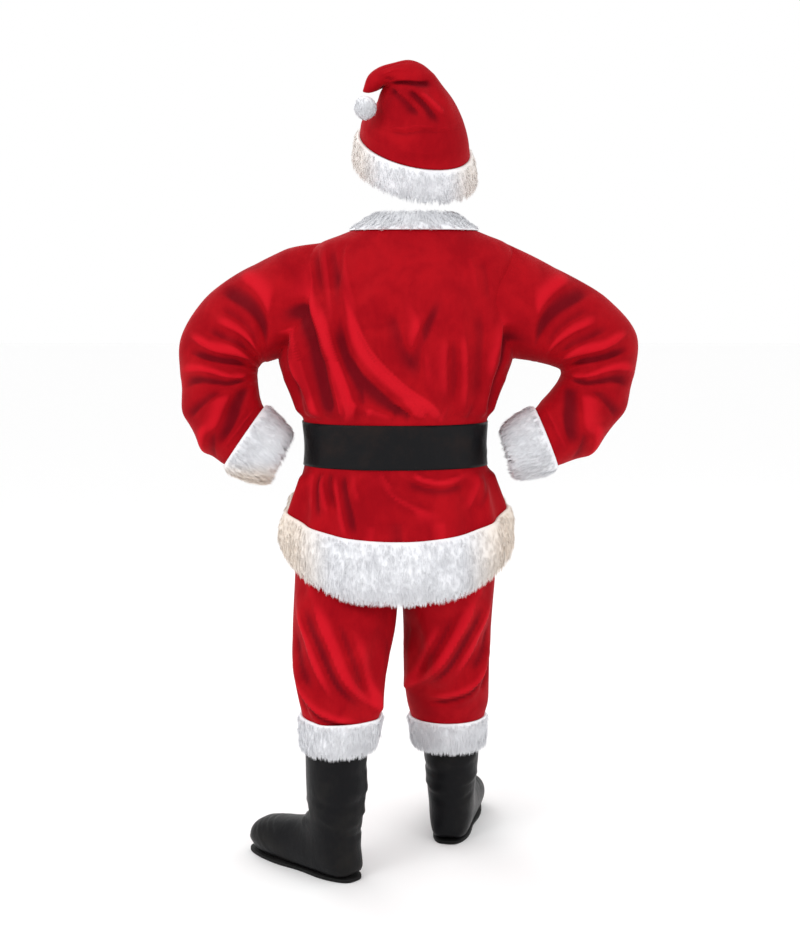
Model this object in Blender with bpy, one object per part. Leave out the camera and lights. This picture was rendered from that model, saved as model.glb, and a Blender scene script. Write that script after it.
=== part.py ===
"""A Santa suit as it is worn: fur-trimmed jacket with its belt, trousers, boot covers and hat.

Heights are above the ground while the pieces are made, and an empty then moves them all, so that
the middle of the waist is the origin. +X is the wearer's left and the wearer faces -Y.
"""

import math
from collections import namedtuple

import bmesh
import bpy
import numpy as np
from mathutils import Vector

# Driving dimensions, in metres and degrees
WAIST_HEIGHT = 0.98  # the belt's middle, which becomes the origin
CLOTH = 0.002  # wall of the velvet panels
LEATHER = 0.002  # wall of the boot covers and the belt
SEAM_GAP = 0.0003  # clearance between two pieces that are sewn together
FUR_HEIGHT = 0.105  # width of the fur strip at the jacket's hem
BELT_BOTTOM, BELT_TOP = 0.930, 1.030
BELT_PLEAT = 0.012  # the cloth lies flat this far above and below the belt
BUCKLE_HALF_WIDTH, BUCKLE_HALF_HEIGHT, BUCKLE_BAR, BUCKLE_THICK = 0.052, 0.057, 0.013, 0.004
PRONG_WIDTH = 0.008
ARMHOLE_BOTTOM, ARMHOLE_TOP = 1.175, 1.437
ARMHOLE_ANGLE = 38.0  # how far round the body the armhole reaches from the side seam
HEM_NOMINAL, NECK_HEIGHT = 0.700, 1.500
# the hem's lower edge: its height at the sides, how far the front is above them and the back
# below them, and how much both then dip at the middle
HEM_SIDE, HEM_TILT, HEM_DIP = 0.752, 0.0775, 0.0345
BODY_SQUARENESS = 0.88
HEM_FUR, COLLAR_FUR = 0.020, 0.018  # how far the fur strips stand out
HALF_LOOP = 10  # points on each half of an armhole, and so half of those round a sleeve
BACK_COLUMNS, FRONT_COLUMNS = 24, 12
LEG_COLUMNS = 11
CROTCH_HEIGHT, HIPS_JOIN = 0.658, 0.80  # between them the two legs grow into the hips
FRONT_MIDDLE = -90  # degrees: the middle of the front
FRONT_BAND_HALF_WIDTH, FRONT_BAND_FUR = 0.045, 0.015
COLLAR_HEIGHT = 0.035
POMPOM_CENTRE, POMPOM_RADIUS = Vector((0.0765, 0.0850, 1.7330)), 0.022
POMPOM_LOCK, POMPOM_LOCK_GAP = 0.009, 0.0012

BodyRing = namedtuple("BodyRing", "height centre_x half_width back front")
BODY = (
    BodyRing(0.700, 0.006, 0.264, 0.176, 0.186),
    BodyRing(0.800, 0.008, 0.246, 0.166, 0.180),
    BodyRing(0.930, 0.010, 0.212, 0.140, 0.154),
    BodyRing(1.030, 0.011, 0.213, 0.138, 0.150),
    BodyRing(1.080, 0.012, 0.225, 0.148, 0.157),
    BodyRing(1.135, 0.012, 0.247, 0.156, 0.164),
    BodyRing(1.175, 0.010, 0.270, 0.158, 0.165),
    BodyRing(1.250, 0.000, 0.264, 0.154, 0.158),
    BodyRing(1.330, -0.012, 0.254, 0.142, 0.142),
    BodyRing(1.390, -0.023, 0.246, 0.124, 0.118),
    BodyRing(1.420, -0.028, 0.232, 0.110, 0.103),
    BodyRing(1.440, -0.030, 0.207, 0.098, 0.091),
    BodyRing(1.455, -0.031, 0.168, 0.088, 0.082),
    BodyRing(1.475, -0.032, 0.122, 0.076, 0.071),
    BodyRing(1.500, -0.034, 0.088, 0.064, 0.062),
)

# A fold is a soft ridge that runs over the body from its top angle and height to its bottom ones.
# Angles are in degrees from the wearer's left side, and 90 is the middle of the back.
BodyFold = namedtuple("BodyFold", "top_angle top bottom_angle bottom rise spread")
BODY_FOLDS = (
    BodyFold(42, 1.30, 34, 1.03, 0.019, 9),
    BodyFold(62, 1.36, 52, 1.04, 0.016, 8),
    BodyFold(80, 1.37, 72, 1.05, 0.012, 8),
    BodyFold(96, 1.36, 112, 1.06, 0.013, 9),
    BodyFold(112, 1.33, 134, 1.04, 0.014, 8),
    BodyFold(136, 1.28, 152, 1.03, 0.017, 8),
    BodyFold(10, 1.15, 14, 1.03, 0.014, 9),
    BodyFold(170, 1.15, 168, 1.03, 0.014, 9),
    BodyFold(-40, 1.30, -30, 1.03, 0.017, 9),
    BodyFold(-66, 1.34, -56, 1.04, 0.013, 8),
    BodyFold(222, 1.30, 212, 1.03, 0.017, 9),
    BodyFold(246, 1.34, 238, 1.04, 0.013, 8),
    BodyFold(22, 0.92, 16, 0.73, 0.017, 9),
    BodyFold(45, 0.92, 44, 0.74, 0.014, 8),
    BodyFold(66, 0.92, 70, 0.70, 0.013, 8),
    BodyFold(92, 0.92, 98, 0.72, 0.012, 9),
    BodyFold(122, 0.92, 114, 0.70, 0.014, 9),
    BodyFold(148, 0.92, 142, 0.73, 0.017, 9),
    BodyFold(174, 0.92, 172, 0.76, 0.013, 9),
    BodyFold(-25, 0.92, -22, 0.78, 0.014, 9),
    BodyFold(-58, 0.92, -60, 0.78, 0.014, 9),
    BodyFold(205, 0.92, 203, 0.78, 0.014, 9),
    BodyFold(240, 0.92, 238, 0.78, 0.014, 9),
)

# Each ring of a sleeve lies between a point on its inner line and one on its outer line.
SleeveRing = namedtuple("SleeveRing", "at inner_x inner_z outer_x outer_z y half_depth")
SLEEVES = {
    "left": (
        SleeveRing(0.0, 0.303, 1.170, 0.263, 1.419, 0.000, 0.098),
        SleeveRing(1.0, 0.315, 1.165, 0.366, 1.371, 0.005, 0.092),
        SleeveRing(2.0, 0.322, 1.158, 0.447, 1.311, 0.012, 0.087),
        SleeveRing(3.0, 0.328, 1.146, 0.502, 1.222, 0.020, 0.084),
        SleeveRing(4.0, 0.327, 1.124, 0.502, 1.128, 0.026, 0.084),
        SleeveRing(5.0, 0.324, 1.100, 0.487, 1.038, 0.030, 0.082),
        SleeveRing(6.0, 0.320, 1.078, 0.450, 0.968, 0.030, 0.078),
        SleeveRing(7.0, 0.310, 1.058, 0.394, 0.924, 0.030, 0.067),
        SleeveRing(8.0, 0.280, 1.024, 0.346, 0.906, 0.030, 0.058),
        SleeveRing(9.0, 0.257, 1.001, 0.309, 0.897, 0.030, 0.055),
    ),
    "right": (
        SleeveRing(0.0, -0.302, 1.172, -0.292, 1.410, -0.002, 0.098),
        SleeveRing(1.0, -0.324, 1.164, -0.388, 1.364, 0.003, 0.092),
        SleeveRing(2.0, -0.350, 1.157, -0.474, 1.312, 0.010, 0.087),
        SleeveRing(3.0, -0.371, 1.146, -0.542, 1.230, 0.016, 0.084),
        SleeveRing(4.0, -0.364, 1.124, -0.535, 1.130, 0.022, 0.084),
        SleeveRing(5.0, -0.346, 1.100, -0.500, 1.040, 0.026, 0.082),
        SleeveRing(6.0, -0.327, 1.079, -0.437, 0.961, 0.028, 0.076),
        SleeveRing(7.0, -0.306, 1.054, -0.349, 0.923, 0.028, 0.066),
        SleeveRing(8.0, -0.272, 1.032, -0.310, 0.915, 0.028, 0.058),
        SleeveRing(9.0, -0.242, 1.010, -0.272, 0.907, 0.028, 0.054),
    ),
}
SLEEVE_ROWS = 14
CUFF_START, CUFF_END = 6.8, 9.0  # where on a sleeve its fur cuff lies
CUFF_FUR = 0.022

# A sleeve's fold is a ridge across part of the sleeve. Its angle runs from the inner line (0) by
# the back (90) and the outer line (180) to the front (270).
SleeveFold = namedtuple("SleeveFold", "at angle rise length spread")
SLEEVE_FOLDS = (
    SleeveFold(0.9, 70, 0.009, 0.35, 60),
    SleeveFold(2.1, 50, 0.011, 0.35, 55),
    SleeveFold(3.0, 20, 0.012, 0.30, 70),
    SleeveFold(3.9, 60, 0.010, 0.30, 60),
    SleeveFold(4.8, 150, 0.009, 0.35, 60),
    SleeveFold(5.9, 110, 0.008, 0.35, 70),
    SleeveFold(1.5, 280, 0.008, 0.40, 60),
    SleeveFold(3.2, 300, 0.010, 0.35, 60),
    SleeveFold(4.6, 260, 0.009, 0.35, 60),
)

# Half of the trousers at one height. The arc is an ellipse about the leg's own middle, which
# reaches the middle seam above the crotch and closes on itself below it.
LegRing = namedtuple("LegRing", "height outer inner y half_depth")
LEGS = {
    "left": (
        LegRing(0.308, 0.219, 0.060, 0.167, 0.086),
        LegRing(0.350, 0.220, 0.052, 0.158, 0.092),
        LegRing(0.379, 0.224, 0.044, 0.150, 0.098),
        LegRing(0.408, 0.232, 0.038, 0.137, 0.104),
        LegRing(0.440, 0.240, 0.034, 0.122, 0.107),
        LegRing(0.470, 0.246, 0.030, 0.108, 0.110),
        LegRing(0.560, 0.249, 0.009, 0.062, 0.118),
        LegRing(0.660, 0.246, 0.001, 0.016, 0.130),
    ),
    "right": (
        LegRing(0.244, 0.200, 0.036, -0.068, 0.084),
        LegRing(0.292, 0.201, 0.031, -0.068, 0.088),
        LegRing(0.316, 0.206, 0.024, -0.066, 0.092),
        LegRing(0.348, 0.213, 0.016, -0.060, 0.099),
        LegRing(0.400, 0.214, 0.010, -0.050, 0.104),
        LegRing(0.470, 0.214, 0.008, -0.036, 0.110),
        LegRing(0.560, 0.217, 0.006, -0.012, 0.118),
        LegRing(0.660, 0.222, 0.001, 0.014, 0.130),
    ),
}
HipRing = namedtuple("HipRing", "height outer reach half_depth")
HIPS = (  # reach is the half-width of the arc: its middle moves to the leg as the crotch nears
    HipRing(0.660, 0.234, 0.117, 0.130),
    HipRing(0.700, 0.230, 0.150, 0.136),
    HipRing(0.760, 0.224, 0.196, 0.138),
    HipRing(0.840, 0.214, 0.214, 0.136),
    HipRing(0.930, 0.205, 0.205, 0.132),
    HipRing(1.010, 0.205, 0.205, 0.130),
)
LegFold = namedtuple("LegFold", "angle top bottom_angle bottom rise spread")
LEG_FOLDS = (  # angles from the outer seam (0) by the back (90) to the inner seam (180)
    LegFold(40, 0.62, 110, 0.42, 0.014, 16),
    LegFold(120, 0.60, 90, 0.40, 0.016, 15),
    LegFold(30, 0.50, 70, 0.37, 0.014, 15),
    LegFold(-40, 0.62, -100, 0.42, 0.014, 16),
    LegFold(-120, 0.58, -80, 0.40, 0.014, 15),
    LegFold(-20, 0.47, -60, 0.37, 0.013, 15),
    LegFold(150, 0.52, 150, 0.38, 0.013, 15),
    LegFold(-150, 0.52, -150, 0.38, 0.013, 15),
)
LEG_FUR_HEIGHT, LEG_FUR = 0.068, 0.014

# Each ring of a boot lies between a point behind or below and one in front or above, in the
# boot's own plane: along is measured forwards from the middle of the shaft.
BootRing = namedtuple("BootRing", "at rear_along rear_z fore_along fore_z half_width")
BOOT_RINGS = (
    BootRing(0, -0.066, 0.352, 0.072, 0.352, 0.067),
    BootRing(1, -0.066, 0.280, 0.072, 0.280, 0.068),
    BootRing(2, -0.063, 0.200, 0.071, 0.206, 0.066),
    BootRing(3, -0.054, 0.132, 0.069, 0.158, 0.060),
    BootRing(4, -0.052, 0.070, 0.082, 0.132, 0.056),
    BootRing(5, -0.054, 0.020, 0.110, 0.116, 0.054),
    BootRing(6, -0.012, 0.0085, 0.148, 0.106, 0.053),
    BootRing(7, 0.064, 0.0085, 0.184, 0.099, 0.054),
    BootRing(8, 0.145, 0.0085, 0.220, 0.090, 0.056),
    BootRing(9, 0.215, 0.0085, 0.252, 0.074, 0.050),
    BootRing(10, 0.258, 0.0140, 0.270, 0.046, 0.028),
)
BOOT_AROUND, BOOT_ROWS = 18, 14
SOLE_TOP, SOLE_HALF_WIDTH, SOLE_HEEL, SOLE_TOE = 0.008, 0.052, -0.058, 0.274
BootPlace = namedtuple("BootPlace", "x y toe_x toe_y")
BOOTS = {
    "left": BootPlace(0.1420, 0.174, 0.745, -0.667),
    "right": BootPlace(-0.1240, -0.0700, -0.190, -0.982),
}

HatRing = namedtuple("HatRing", "at x y z across depth lean")
HAT_RINGS = (  # lean turns a ring back about X, in degrees
    HatRing(0, -0.034, -0.020, 1.660, 0.126, 0.118, 30),
    HatRing(1, -0.034, -0.006, 1.690, 0.121, 0.112, 28),
    HatRing(2, -0.036, 0.008, 1.717, 0.108, 0.099, 24),
    HatRing(3, -0.037, 0.020, 1.742, 0.092, 0.084, 18),
    HatRing(4, -0.034, 0.030, 1.765, 0.078, 0.071, 13),
    HatRing(5, -0.030, 0.038, 1.785, 0.065, 0.059, 9),
)
HAT_TILT = 0.183  # how much the brim rises towards the wearer's left, gone by the fourth ring
# The crown's narrow end folds over to the left: each ring lies between its under and upper points.
HatEnd = namedtuple("HatEnd", "at under_x under_z upper_x upper_z y half_depth")
HAT_END = (
    HatEnd(0, 0.040, 1.782, -0.077, 1.808, 0.044, 0.052),
    HatEnd(1, 0.045, 1.777, -0.050, 1.829, 0.048, 0.047),
    HatEnd(2, 0.049, 1.773, -0.020, 1.838, 0.053, 0.042),
    HatEnd(3, 0.053, 1.770, 0.014, 1.831, 0.060, 0.036),
    HatEnd(4, 0.057, 1.7675, 0.047, 1.820, 0.068, 0.029),
    HatEnd(5, 0.062, 1.765, 0.071, 1.800, 0.076, 0.020),
    HatEnd(6, 0.068, 1.7630, 0.083, 1.7655, 0.083, 0.011),
)
HAT_AROUND = 24
HAT_LEVELS = (0, 0.8, 1.6, 2.4, 3.2, 4.0, 5, 6, 6.8, 7.6, 8.6, 9.6, 11, 12)
HAT_BAND_FUR, HAT_BAND_HEIGHT = 0.016, 0.066
HatFold = namedtuple("HatFold", "at angle rise length spread")
HAT_FOLDS = (
    HatFold(4.4, 60, 0.008, 1.0, 16),
    HatFold(4.8, 100, 0.007, 0.9, 14),
    HatFold(4.0, 140, 0.006, 1.0, 16),
    HatFold(4.2, 20, 0.006, 0.9, 16),
    HatFold(4.4, 230, 0.006, 1.0, 18),
    HatFold(4.6, 300, 0.007, 1.0, 18),
)

Finish = namedtuple("Finish", "red green blue roughness metallic")
VELVET = Finish(0.55, 0.006, 0.016, 0.85, 0.0)
FUR = Finish(0.88, 0.86, 0.82, 0.95, 0.0)
LEATHERETTE = Finish(0.012, 0.012, 0.014, 0.38, 0.0)
SOLE = Finish(0.010, 0.010, 0.010, 0.70, 0.0)
GILT = Finish(0.80, 0.58, 0.22, 0.28, 1.0)


def clear_scene():
    for item in list(bpy.data.objects):
        bpy.data.objects.remove(item, do_unlink=True)


def sample(rows, key):
    """The row of a table at this value of its first column, on a smooth curve through the rows."""
    keys = [row[0] for row in rows]
    key = min(max(key, keys[0]), keys[-1])
    last = min(max(int(np.searchsorted(keys, key)), 1), len(rows) - 1)
    first = last - 1
    step = keys[last] - keys[first]
    share = (key - keys[first]) / step
    values = []
    for column in range(len(rows[0])):
        low, high = rows[first][column], rows[last][column]
        before, after = max(first - 1, 0), min(last + 1, len(rows) - 1)
        slope_low = (high - rows[before][column]) / (keys[last] - keys[before]) * step
        slope_high = (rows[after][column] - low) / (keys[after] - keys[first]) * step
        values.append(
            low * (1 + 2 * share) * (1 - share) ** 2
            + high * share**2 * (3 - 2 * share)
            + slope_low * share * (1 - share) ** 2
            - slope_high * share**2 * (1 - share)
        )
    return type(rows[0])(*values)


def eased(value, low, high):
    share = min(max((value - low) / (high - low), 0.0), 1.0)
    return share * share * (3 - 2 * share)


def steps(low, high, count):
    """This many even steps from low to high, both included."""
    return [low + (high - low) * i / (count - 1) for i in range(count)]


def signed_power(value, power):
    return math.copysign(abs(value) ** power, value)


def turn_between(first, second):
    """The smallest turn from one angle to another, in degrees."""
    return (first - second + 180.0) % 360.0 - 180.0


def material_of(name, finish):
    material = bpy.data.materials.new(name)
    material.use_nodes = True
    shader = material.node_tree.nodes["Principled BSDF"]
    shader.inputs["Base Color"].default_value = (finish.red, finish.green, finish.blue, 1.0)
    shader.inputs["Roughness"].default_value = finish.roughness
    shader.inputs["Metallic"].default_value = finish.metallic
    material.diffuse_color = (finish.red, finish.green, finish.blue, 1.0)
    return material


def finish_object(name, bm, finish, base):
    """Puts the bmesh into the scene as one object under the empty that holds the suit."""
    bmesh.ops.recalc_face_normals(bm, faces=bm.faces)
    mesh = bpy.data.meshes.new(name)
    bm.to_mesh(mesh)
    bm.free()
    mesh.shade_smooth()
    mesh.set_sharp_from_angle(angle=math.radians(50))
    mesh.materials.append(material_of(name, finish))
    item = bpy.data.objects.new(name, mesh)
    item.parent = base
    bpy.context.scene.collection.objects.link(item)
    return item


def grid_faces(bm, rows, around):
    """Quads between rows of vertices, closed into rings where around is true."""
    for low, high in zip(rows, rows[1:]):
        count = len(low)
        for i in range(count if around else count - 1):
            j = (i + 1) % count
            bm.faces.new((low[i], low[j], high[j], high[i]))


def row_normals(rows, around):
    """Outward normals of rows of points. Rings run so that their normals point out."""
    grid = np.array([[tuple(point) for point in row] for row in rows])
    if around:
        across = np.roll(grid, -1, axis=1) - np.roll(grid, 1, axis=1)
    else:
        across = np.gradient(grid, axis=1)
    normals = np.cross(across, np.gradient(grid, axis=0))
    return normals / np.linalg.norm(normals, axis=2, keepdims=True)


def shell(name, rows, wall, finish, base, around=False, normals=None, tip=False):
    """A sheet through rows of points, given its wall on the inner side."""
    if normals is None:
        normals = row_normals(rows, around)
    bm = bmesh.new()
    outer = [[bm.verts.new(point) for point in row] for row in rows]
    inner = [
        [bm.verts.new(Vector(point) - wall * Vector(normal)) for point, normal in zip(row, bend)]
        for row, bend in zip(rows, normals)
    ]
    grid_faces(bm, outer, around)
    grid_faces(bm, [row[::-1] for row in inner], around)
    count = len(rows[0])
    for out_row, in_row in ((outer[0], inner[0]), (outer[-1], inner[-1])):
        if tip and out_row is outer[-1]:
            bm.faces.new(out_row)
            bm.faces.new(in_row[::-1])
            continue
        for i in range(count if around else count - 1):
            j = (i + 1) % count
            bm.faces.new((out_row[i], out_row[j], in_row[j], in_row[i]))
    if not around:
        for side in (0, -1):
            for low in range(len(rows) - 1):
                bm.faces.new(
                    (outer[low][side], outer[low + 1][side], inner[low + 1][side], inner[low][side])
                )
    return finish_object(name, bm, finish, base)


def strip(name, sections, finish, base, around=True):
    """A solid strip through cross-sections, closed on itself or with a face at each end."""
    bm = bmesh.new()
    loops = [[bm.verts.new(point) for point in section] for section in sections]
    if around:
        loops.append(loops[0])
    grid_faces(bm, loops, True)
    if not around:
        bm.faces.new(loops[0])
        bm.faces.new(loops[-1][::-1])
    return finish_object(name, bm, finish, base)


# The section of a strip of fur: the share of its width, and of its depth, at each corner
FurCorner = namedtuple("FurCorner", "across out")
FUR_SECTION = (
    FurCorner(0.03, -0.22),
    FurCorner(1.00, -0.22),
    FurCorner(1.00, 0.30),
    FurCorner(0.86, 0.90),
    FurCorner(0.50, 1.00),
    FurCorner(0.12, 0.94),
    FurCorner(-0.06, 0.40),
)


def fur_strip(name, place, stations, depth, base, around=True):
    """A strip of fur, sewn edge to edge to the cloth. place(station, across, out) gives a point
    across its width and out from the surface that the cloth and the fur share."""
    sections = []
    for count, station in enumerate(stations):
        tuft = 1 + 0.10 * math.sin(2.4 * count) + 0.06 * math.sin(5.3 * count + 1)
        sections.append(
            [
                place(station, corner.across, corner.out * depth * tuft)
                for corner in FUR_SECTION
            ]
        )
    return strip(name, sections, FUR, base, around)


# The jacket


def body_fold(angle, height):
    total = 0.0
    for fold in BODY_FOLDS:
        run = (fold.top - height) / (fold.top - fold.bottom)
        if not -0.25 < run < 1.25:
            continue
        middle = fold.top_angle + (fold.bottom_angle - fold.top_angle) * run
        away = turn_between(angle, middle) / fold.spread
        ends = eased(run, -0.25, 0.2) * (1 - eased(run, 0.9, 1.15))
        total += fold.rise * ends * math.exp(-away * away)
    at_belt = eased(height, BELT_TOP + 0.002, BELT_TOP + 0.035) + 1 - eased(
        height, BELT_BOTTOM - 0.035, BELT_BOTTOM - 0.002
    )
    return total * at_belt


def hem_shift(angle):
    back = math.sin(math.radians(angle))
    return HEM_SIDE - HEM_TILT * back - HEM_DIP * back * back - HEM_NOMINAL


def body_plain(angle, height):
    """A point of the body's surface, without its folds."""
    ring = sample(BODY, height)
    turn = math.radians(angle)
    cos = signed_power(math.cos(turn), BODY_SQUARENESS)
    sin = signed_power(math.sin(turn), BODY_SQUARENESS)
    lowered = hem_shift(angle) * (BELT_BOTTOM - height) / (BELT_BOTTOM - HEM_NOMINAL)
    rise = lowered if height < BELT_BOTTOM else 0.0
    depth = ring.back if sin > 0 else ring.front
    return Vector((ring.centre_x + ring.half_width * cos, depth * sin, height + rise))


def normal_of(surface, first, second, step_first, step_second):
    """The normal of a surface of two values, from the points a step to each side."""
    across = surface(first + step_first, second) - surface(first - step_first, second)
    along = surface(first, second + step_second) - surface(first, second - step_second)
    return across.cross(along).normalized()


def body_point(angle, height):
    plain = body_plain(angle, height)
    lift = body_fold(angle, height)
    return plain + lift * normal_of(body_plain, angle, height, 0.5, 0.002)


def body_normal(angle, height):
    return normal_of(body_point, angle, height, 1.0, 0.004)


def armhole_edge(height):
    """How far, in degrees, the armhole reaches from the side seam at this height."""
    share = (height - ARMHOLE_BOTTOM) / (ARMHOLE_TOP - ARMHOLE_BOTTOM)
    if not 0 < share < 1:
        return 0.0
    return ARMHOLE_ANGLE * math.sin(math.pi * share) ** 0.75


def armhole_heights():
    span = ARMHOLE_TOP - ARMHOLE_BOTTOM
    return [
        ARMHOLE_BOTTOM + span * (1 - math.cos(math.pi * i / HALF_LOOP)) / 2
        for i in range(HALF_LOOP + 1)
    ]


def body_heights():
    """The heights of a panel's rows, from the hem's fur to the collar."""
    skirt = steps(HEM_NOMINAL + FUR_HEIGHT, BELT_BOTTOM - 0.030, 3)
    skirt += [BELT_BOTTOM - BELT_PLEAT, BELT_BOTTOM]
    waist = [BELT_TOP, BELT_TOP + BELT_PLEAT, BELT_TOP + 0.035, 1.100, 1.138]
    collar_seam = NECK_HEIGHT - COLLAR_HEIGHT
    return skirt + waist + armhole_heights() + [(ARMHOLE_TOP + collar_seam) / 2, collar_seam]


def front_edge(height):
    """How far, in degrees, the front band's edge lies from the middle of the front."""
    share = FRONT_BAND_HALF_WIDTH / sample(BODY, height).half_width
    return math.degrees(math.asin(share ** (1 / BODY_SQUARENESS)))


def panel_span(start, end, height):
    """The angles from start to end, less the armhole or the band, and half a seam."""
    ring = sample(BODY, height)
    seam = math.degrees(SEAM_GAP / (ring.half_width + ring.back))
    side = max(armhole_edge(height), seam)
    front = front_edge(height) + seam
    low = start + (front if start == FRONT_MIDDLE else side)
    high = end - (front if end == FRONT_MIDDLE + 360 else side)
    return low, high


def make_body_panel(name, start, end, columns, base):
    rows, normals = [], []
    for height in body_heights():
        low, high = panel_span(start, end, height)
        angles = [low + (high - low) * i / columns for i in range(columns + 1)]
        rows.append([body_point(angle, height) for angle in angles])
        normals.append([body_normal(angle, height) for angle in angles])
    shell(name, rows, CLOTH, VELVET, base, normals=normals)


def armhole_loop(side):
    """The armhole's edge from the armpit up the back and down the front, just off the body."""
    loop = []
    heights = armhole_heights()
    for i in range(2 * HALF_LOOP):
        at_back = i <= HALF_LOOP
        height = heights[i] if at_back else heights[2 * HALF_LOOP - i]
        angle = armhole_edge(height) * (1 if at_back else -1)
        angle = angle if side == "left" else 180 - angle
        loop.append(body_point(angle, height) + SEAM_GAP * 1.3 * body_normal(angle, height))
    return loop


def sleeve_fold(at, turn):
    total = 0.0
    for fold in SLEEVE_FOLDS:
        along = (at - fold.at) / fold.length
        round_it = turn_between(turn, fold.angle) / fold.spread
        total += fold.rise * math.exp(-along * along - round_it * round_it)
    return total * (1 - eased(at, 6.0, 6.8))


def sleeve_point(side, at, turn):
    ring = sample(SLEEVES[side], at)
    inner = Vector((ring.inner_x, ring.y, ring.inner_z))
    outer = Vector((ring.outer_x, ring.y, ring.outer_z))
    out = math.radians(turn)
    arm = (inner - outer) / 2
    spoke = math.cos(out) * arm + Vector((0, math.sin(out) * ring.half_depth, 0))
    full = 1 + sleeve_fold(at, turn) / spoke.length
    return (inner + outer) / 2 + spoke * full


def sleeve_turns():
    return [180.0 * i / HALF_LOOP for i in range(2 * HALF_LOOP)]


def make_sleeve(side, base):
    rows = [armhole_loop(side)]
    for at in steps(0.0, CUFF_START, SLEEVE_ROWS):
        rows.append([sleeve_point(side, at, turn) for turn in sleeve_turns()])
    # the armhole's row is nearly square to the arm, so its wall leans as the next row's does
    if side == "right":  # so that the rings of both sleeves run with their normals out
        rows = [row[:1] + row[:0:-1] for row in rows]
    normals = row_normals(rows, True)
    normals[0] = normals[1]
    middle = sum(rows[-1], Vector()) / len(rows[-1])
    normals[-1] = [tuple((point - middle).normalized()) for point in rows[-1]]
    shell("sleeve_" + side, rows, CLOTH, VELVET, base, around=True, normals=normals)


def make_cuff(side, base):
    def centre_of(at):
        return (sleeve_point(side, at, 0) + sleeve_point(side, at, 180)) / 2

    start = centre_of(CUFF_START)
    axis = (centre_of(CUFF_END) - start).normalized()

    def place(turn, across, out):
        share = 1 - across  # the strip's upper edge is the one sewn to the sleeve
        at = CUFF_START + (CUFF_END - CUFF_START) * min(max(share, 0.0), 1.0)
        point = sleeve_point(side, at, turn)
        away = (point - centre_of(at)).normalized()
        seam = SEAM_GAP if across == 1.0 else 0.0
        return point + away * out + axis * (seam + max(share - 1.0, 0.0) * 0.10)

    fur_strip("cuff_fur_" + side, place, sleeve_turns(), CUFF_FUR, base)


def hem_place(angle, across, out):
    """A point of the strip at the jacket's hem: across runs from its lower edge up."""
    height = HEM_NOMINAL + FUR_HEIGHT * min(max(across, 0.0), 1.0)
    point = body_point(angle, height) + body_normal(angle, height) * out
    drop = 2 * SEAM_GAP if across == 1.0 else -min(across, 0.0) * FUR_HEIGHT
    return point - Vector((0, 0, drop))


def make_hem_fur(base):
    seam = math.degrees(SEAM_GAP / 2 / 0.18)
    start, end = FRONT_MIDDLE + seam, FRONT_MIDDLE + 360 - seam
    count = 2 * BACK_COLUMNS + 1
    fur_strip("hem_fur", hem_place, steps(start, end, count), HEM_FUR, base, around=False)


def front_place(height, across, out):
    """A point of the fur band down the middle of the front, between the two fronts."""
    reach = front_edge(height) * (2 * min(max(across, 0.0), 1.0) - 1)
    angle = FRONT_MIDDLE + reach
    below = 1 - eased(height, BELT_BOTTOM - 0.030, BELT_BOTTOM - BELT_PLEAT)
    above = eased(height, BELT_TOP + BELT_PLEAT, BELT_TOP + 0.030)
    full = out * (0.10 + 0.90 * (below + above))  # the belt presses the fur flat
    away = body_normal(angle, height)
    away.z *= 1 - eased(height, 1.36, 1.44)
    return body_point(angle, height) + away.normalized() * full


def make_front_band(base):
    heights = body_heights()
    heights[0] += SEAM_GAP
    heights[-1] -= SEAM_GAP
    fur_strip("front_band_fur", front_place, heights, FRONT_BAND_FUR, base, around=False)


def collar_place(angle, across, out):
    """A point of the collar, which stands round the neck: across runs from its edge down."""
    share = 1 - across
    height = NECK_HEIGHT - COLLAR_HEIGHT * (1 - min(max(share, 0.0), 1.0))
    away = body_normal(angle, height)
    away.z = 0
    lift = SEAM_GAP if across == 1.0 else max(share - 1.0, 0.0) * COLLAR_HEIGHT
    return body_point(angle, height) + away.normalized() * out + Vector((0, 0, lift))


def make_collar(base):
    seam = math.degrees(SEAM_GAP / 2 / 0.05)
    start, end = FRONT_MIDDLE + seam, FRONT_MIDDLE + 360 - seam
    fur_strip("collar_fur", collar_place, steps(start, end, 33), COLLAR_FUR, base, around=False)


def belt_surface(angle, height, out):
    """The belt lies flat on the jacket, and stands off it over the front band."""
    over_band = 1 - eased(abs(turn_between(angle, FRONT_MIDDLE)), 16, 30)
    away = normal_of(body_plain, angle, (BELT_BOTTOM + BELT_TOP) / 2, 0.5, 0.002)
    away.z = 0
    stand = 2 * SEAM_GAP + FRONT_BAND_FUR * 0.12 * over_band + out
    return body_plain(angle, height) + away.normalized() * stand


def make_belt(base):
    corners = ((BELT_BOTTOM, 0.0), (BELT_TOP, 0.0), (BELT_TOP, LEATHER), (BELT_BOTTOM, LEATHER))
    angles = steps(0, 360, 2 * BACK_COLUMNS + 1)[:-1]
    sections = [
        [belt_surface(angle, height, out) for height, out in corners] for angle in angles
    ]
    strip("belt_strap", sections, LEATHERETTE, base)


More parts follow.
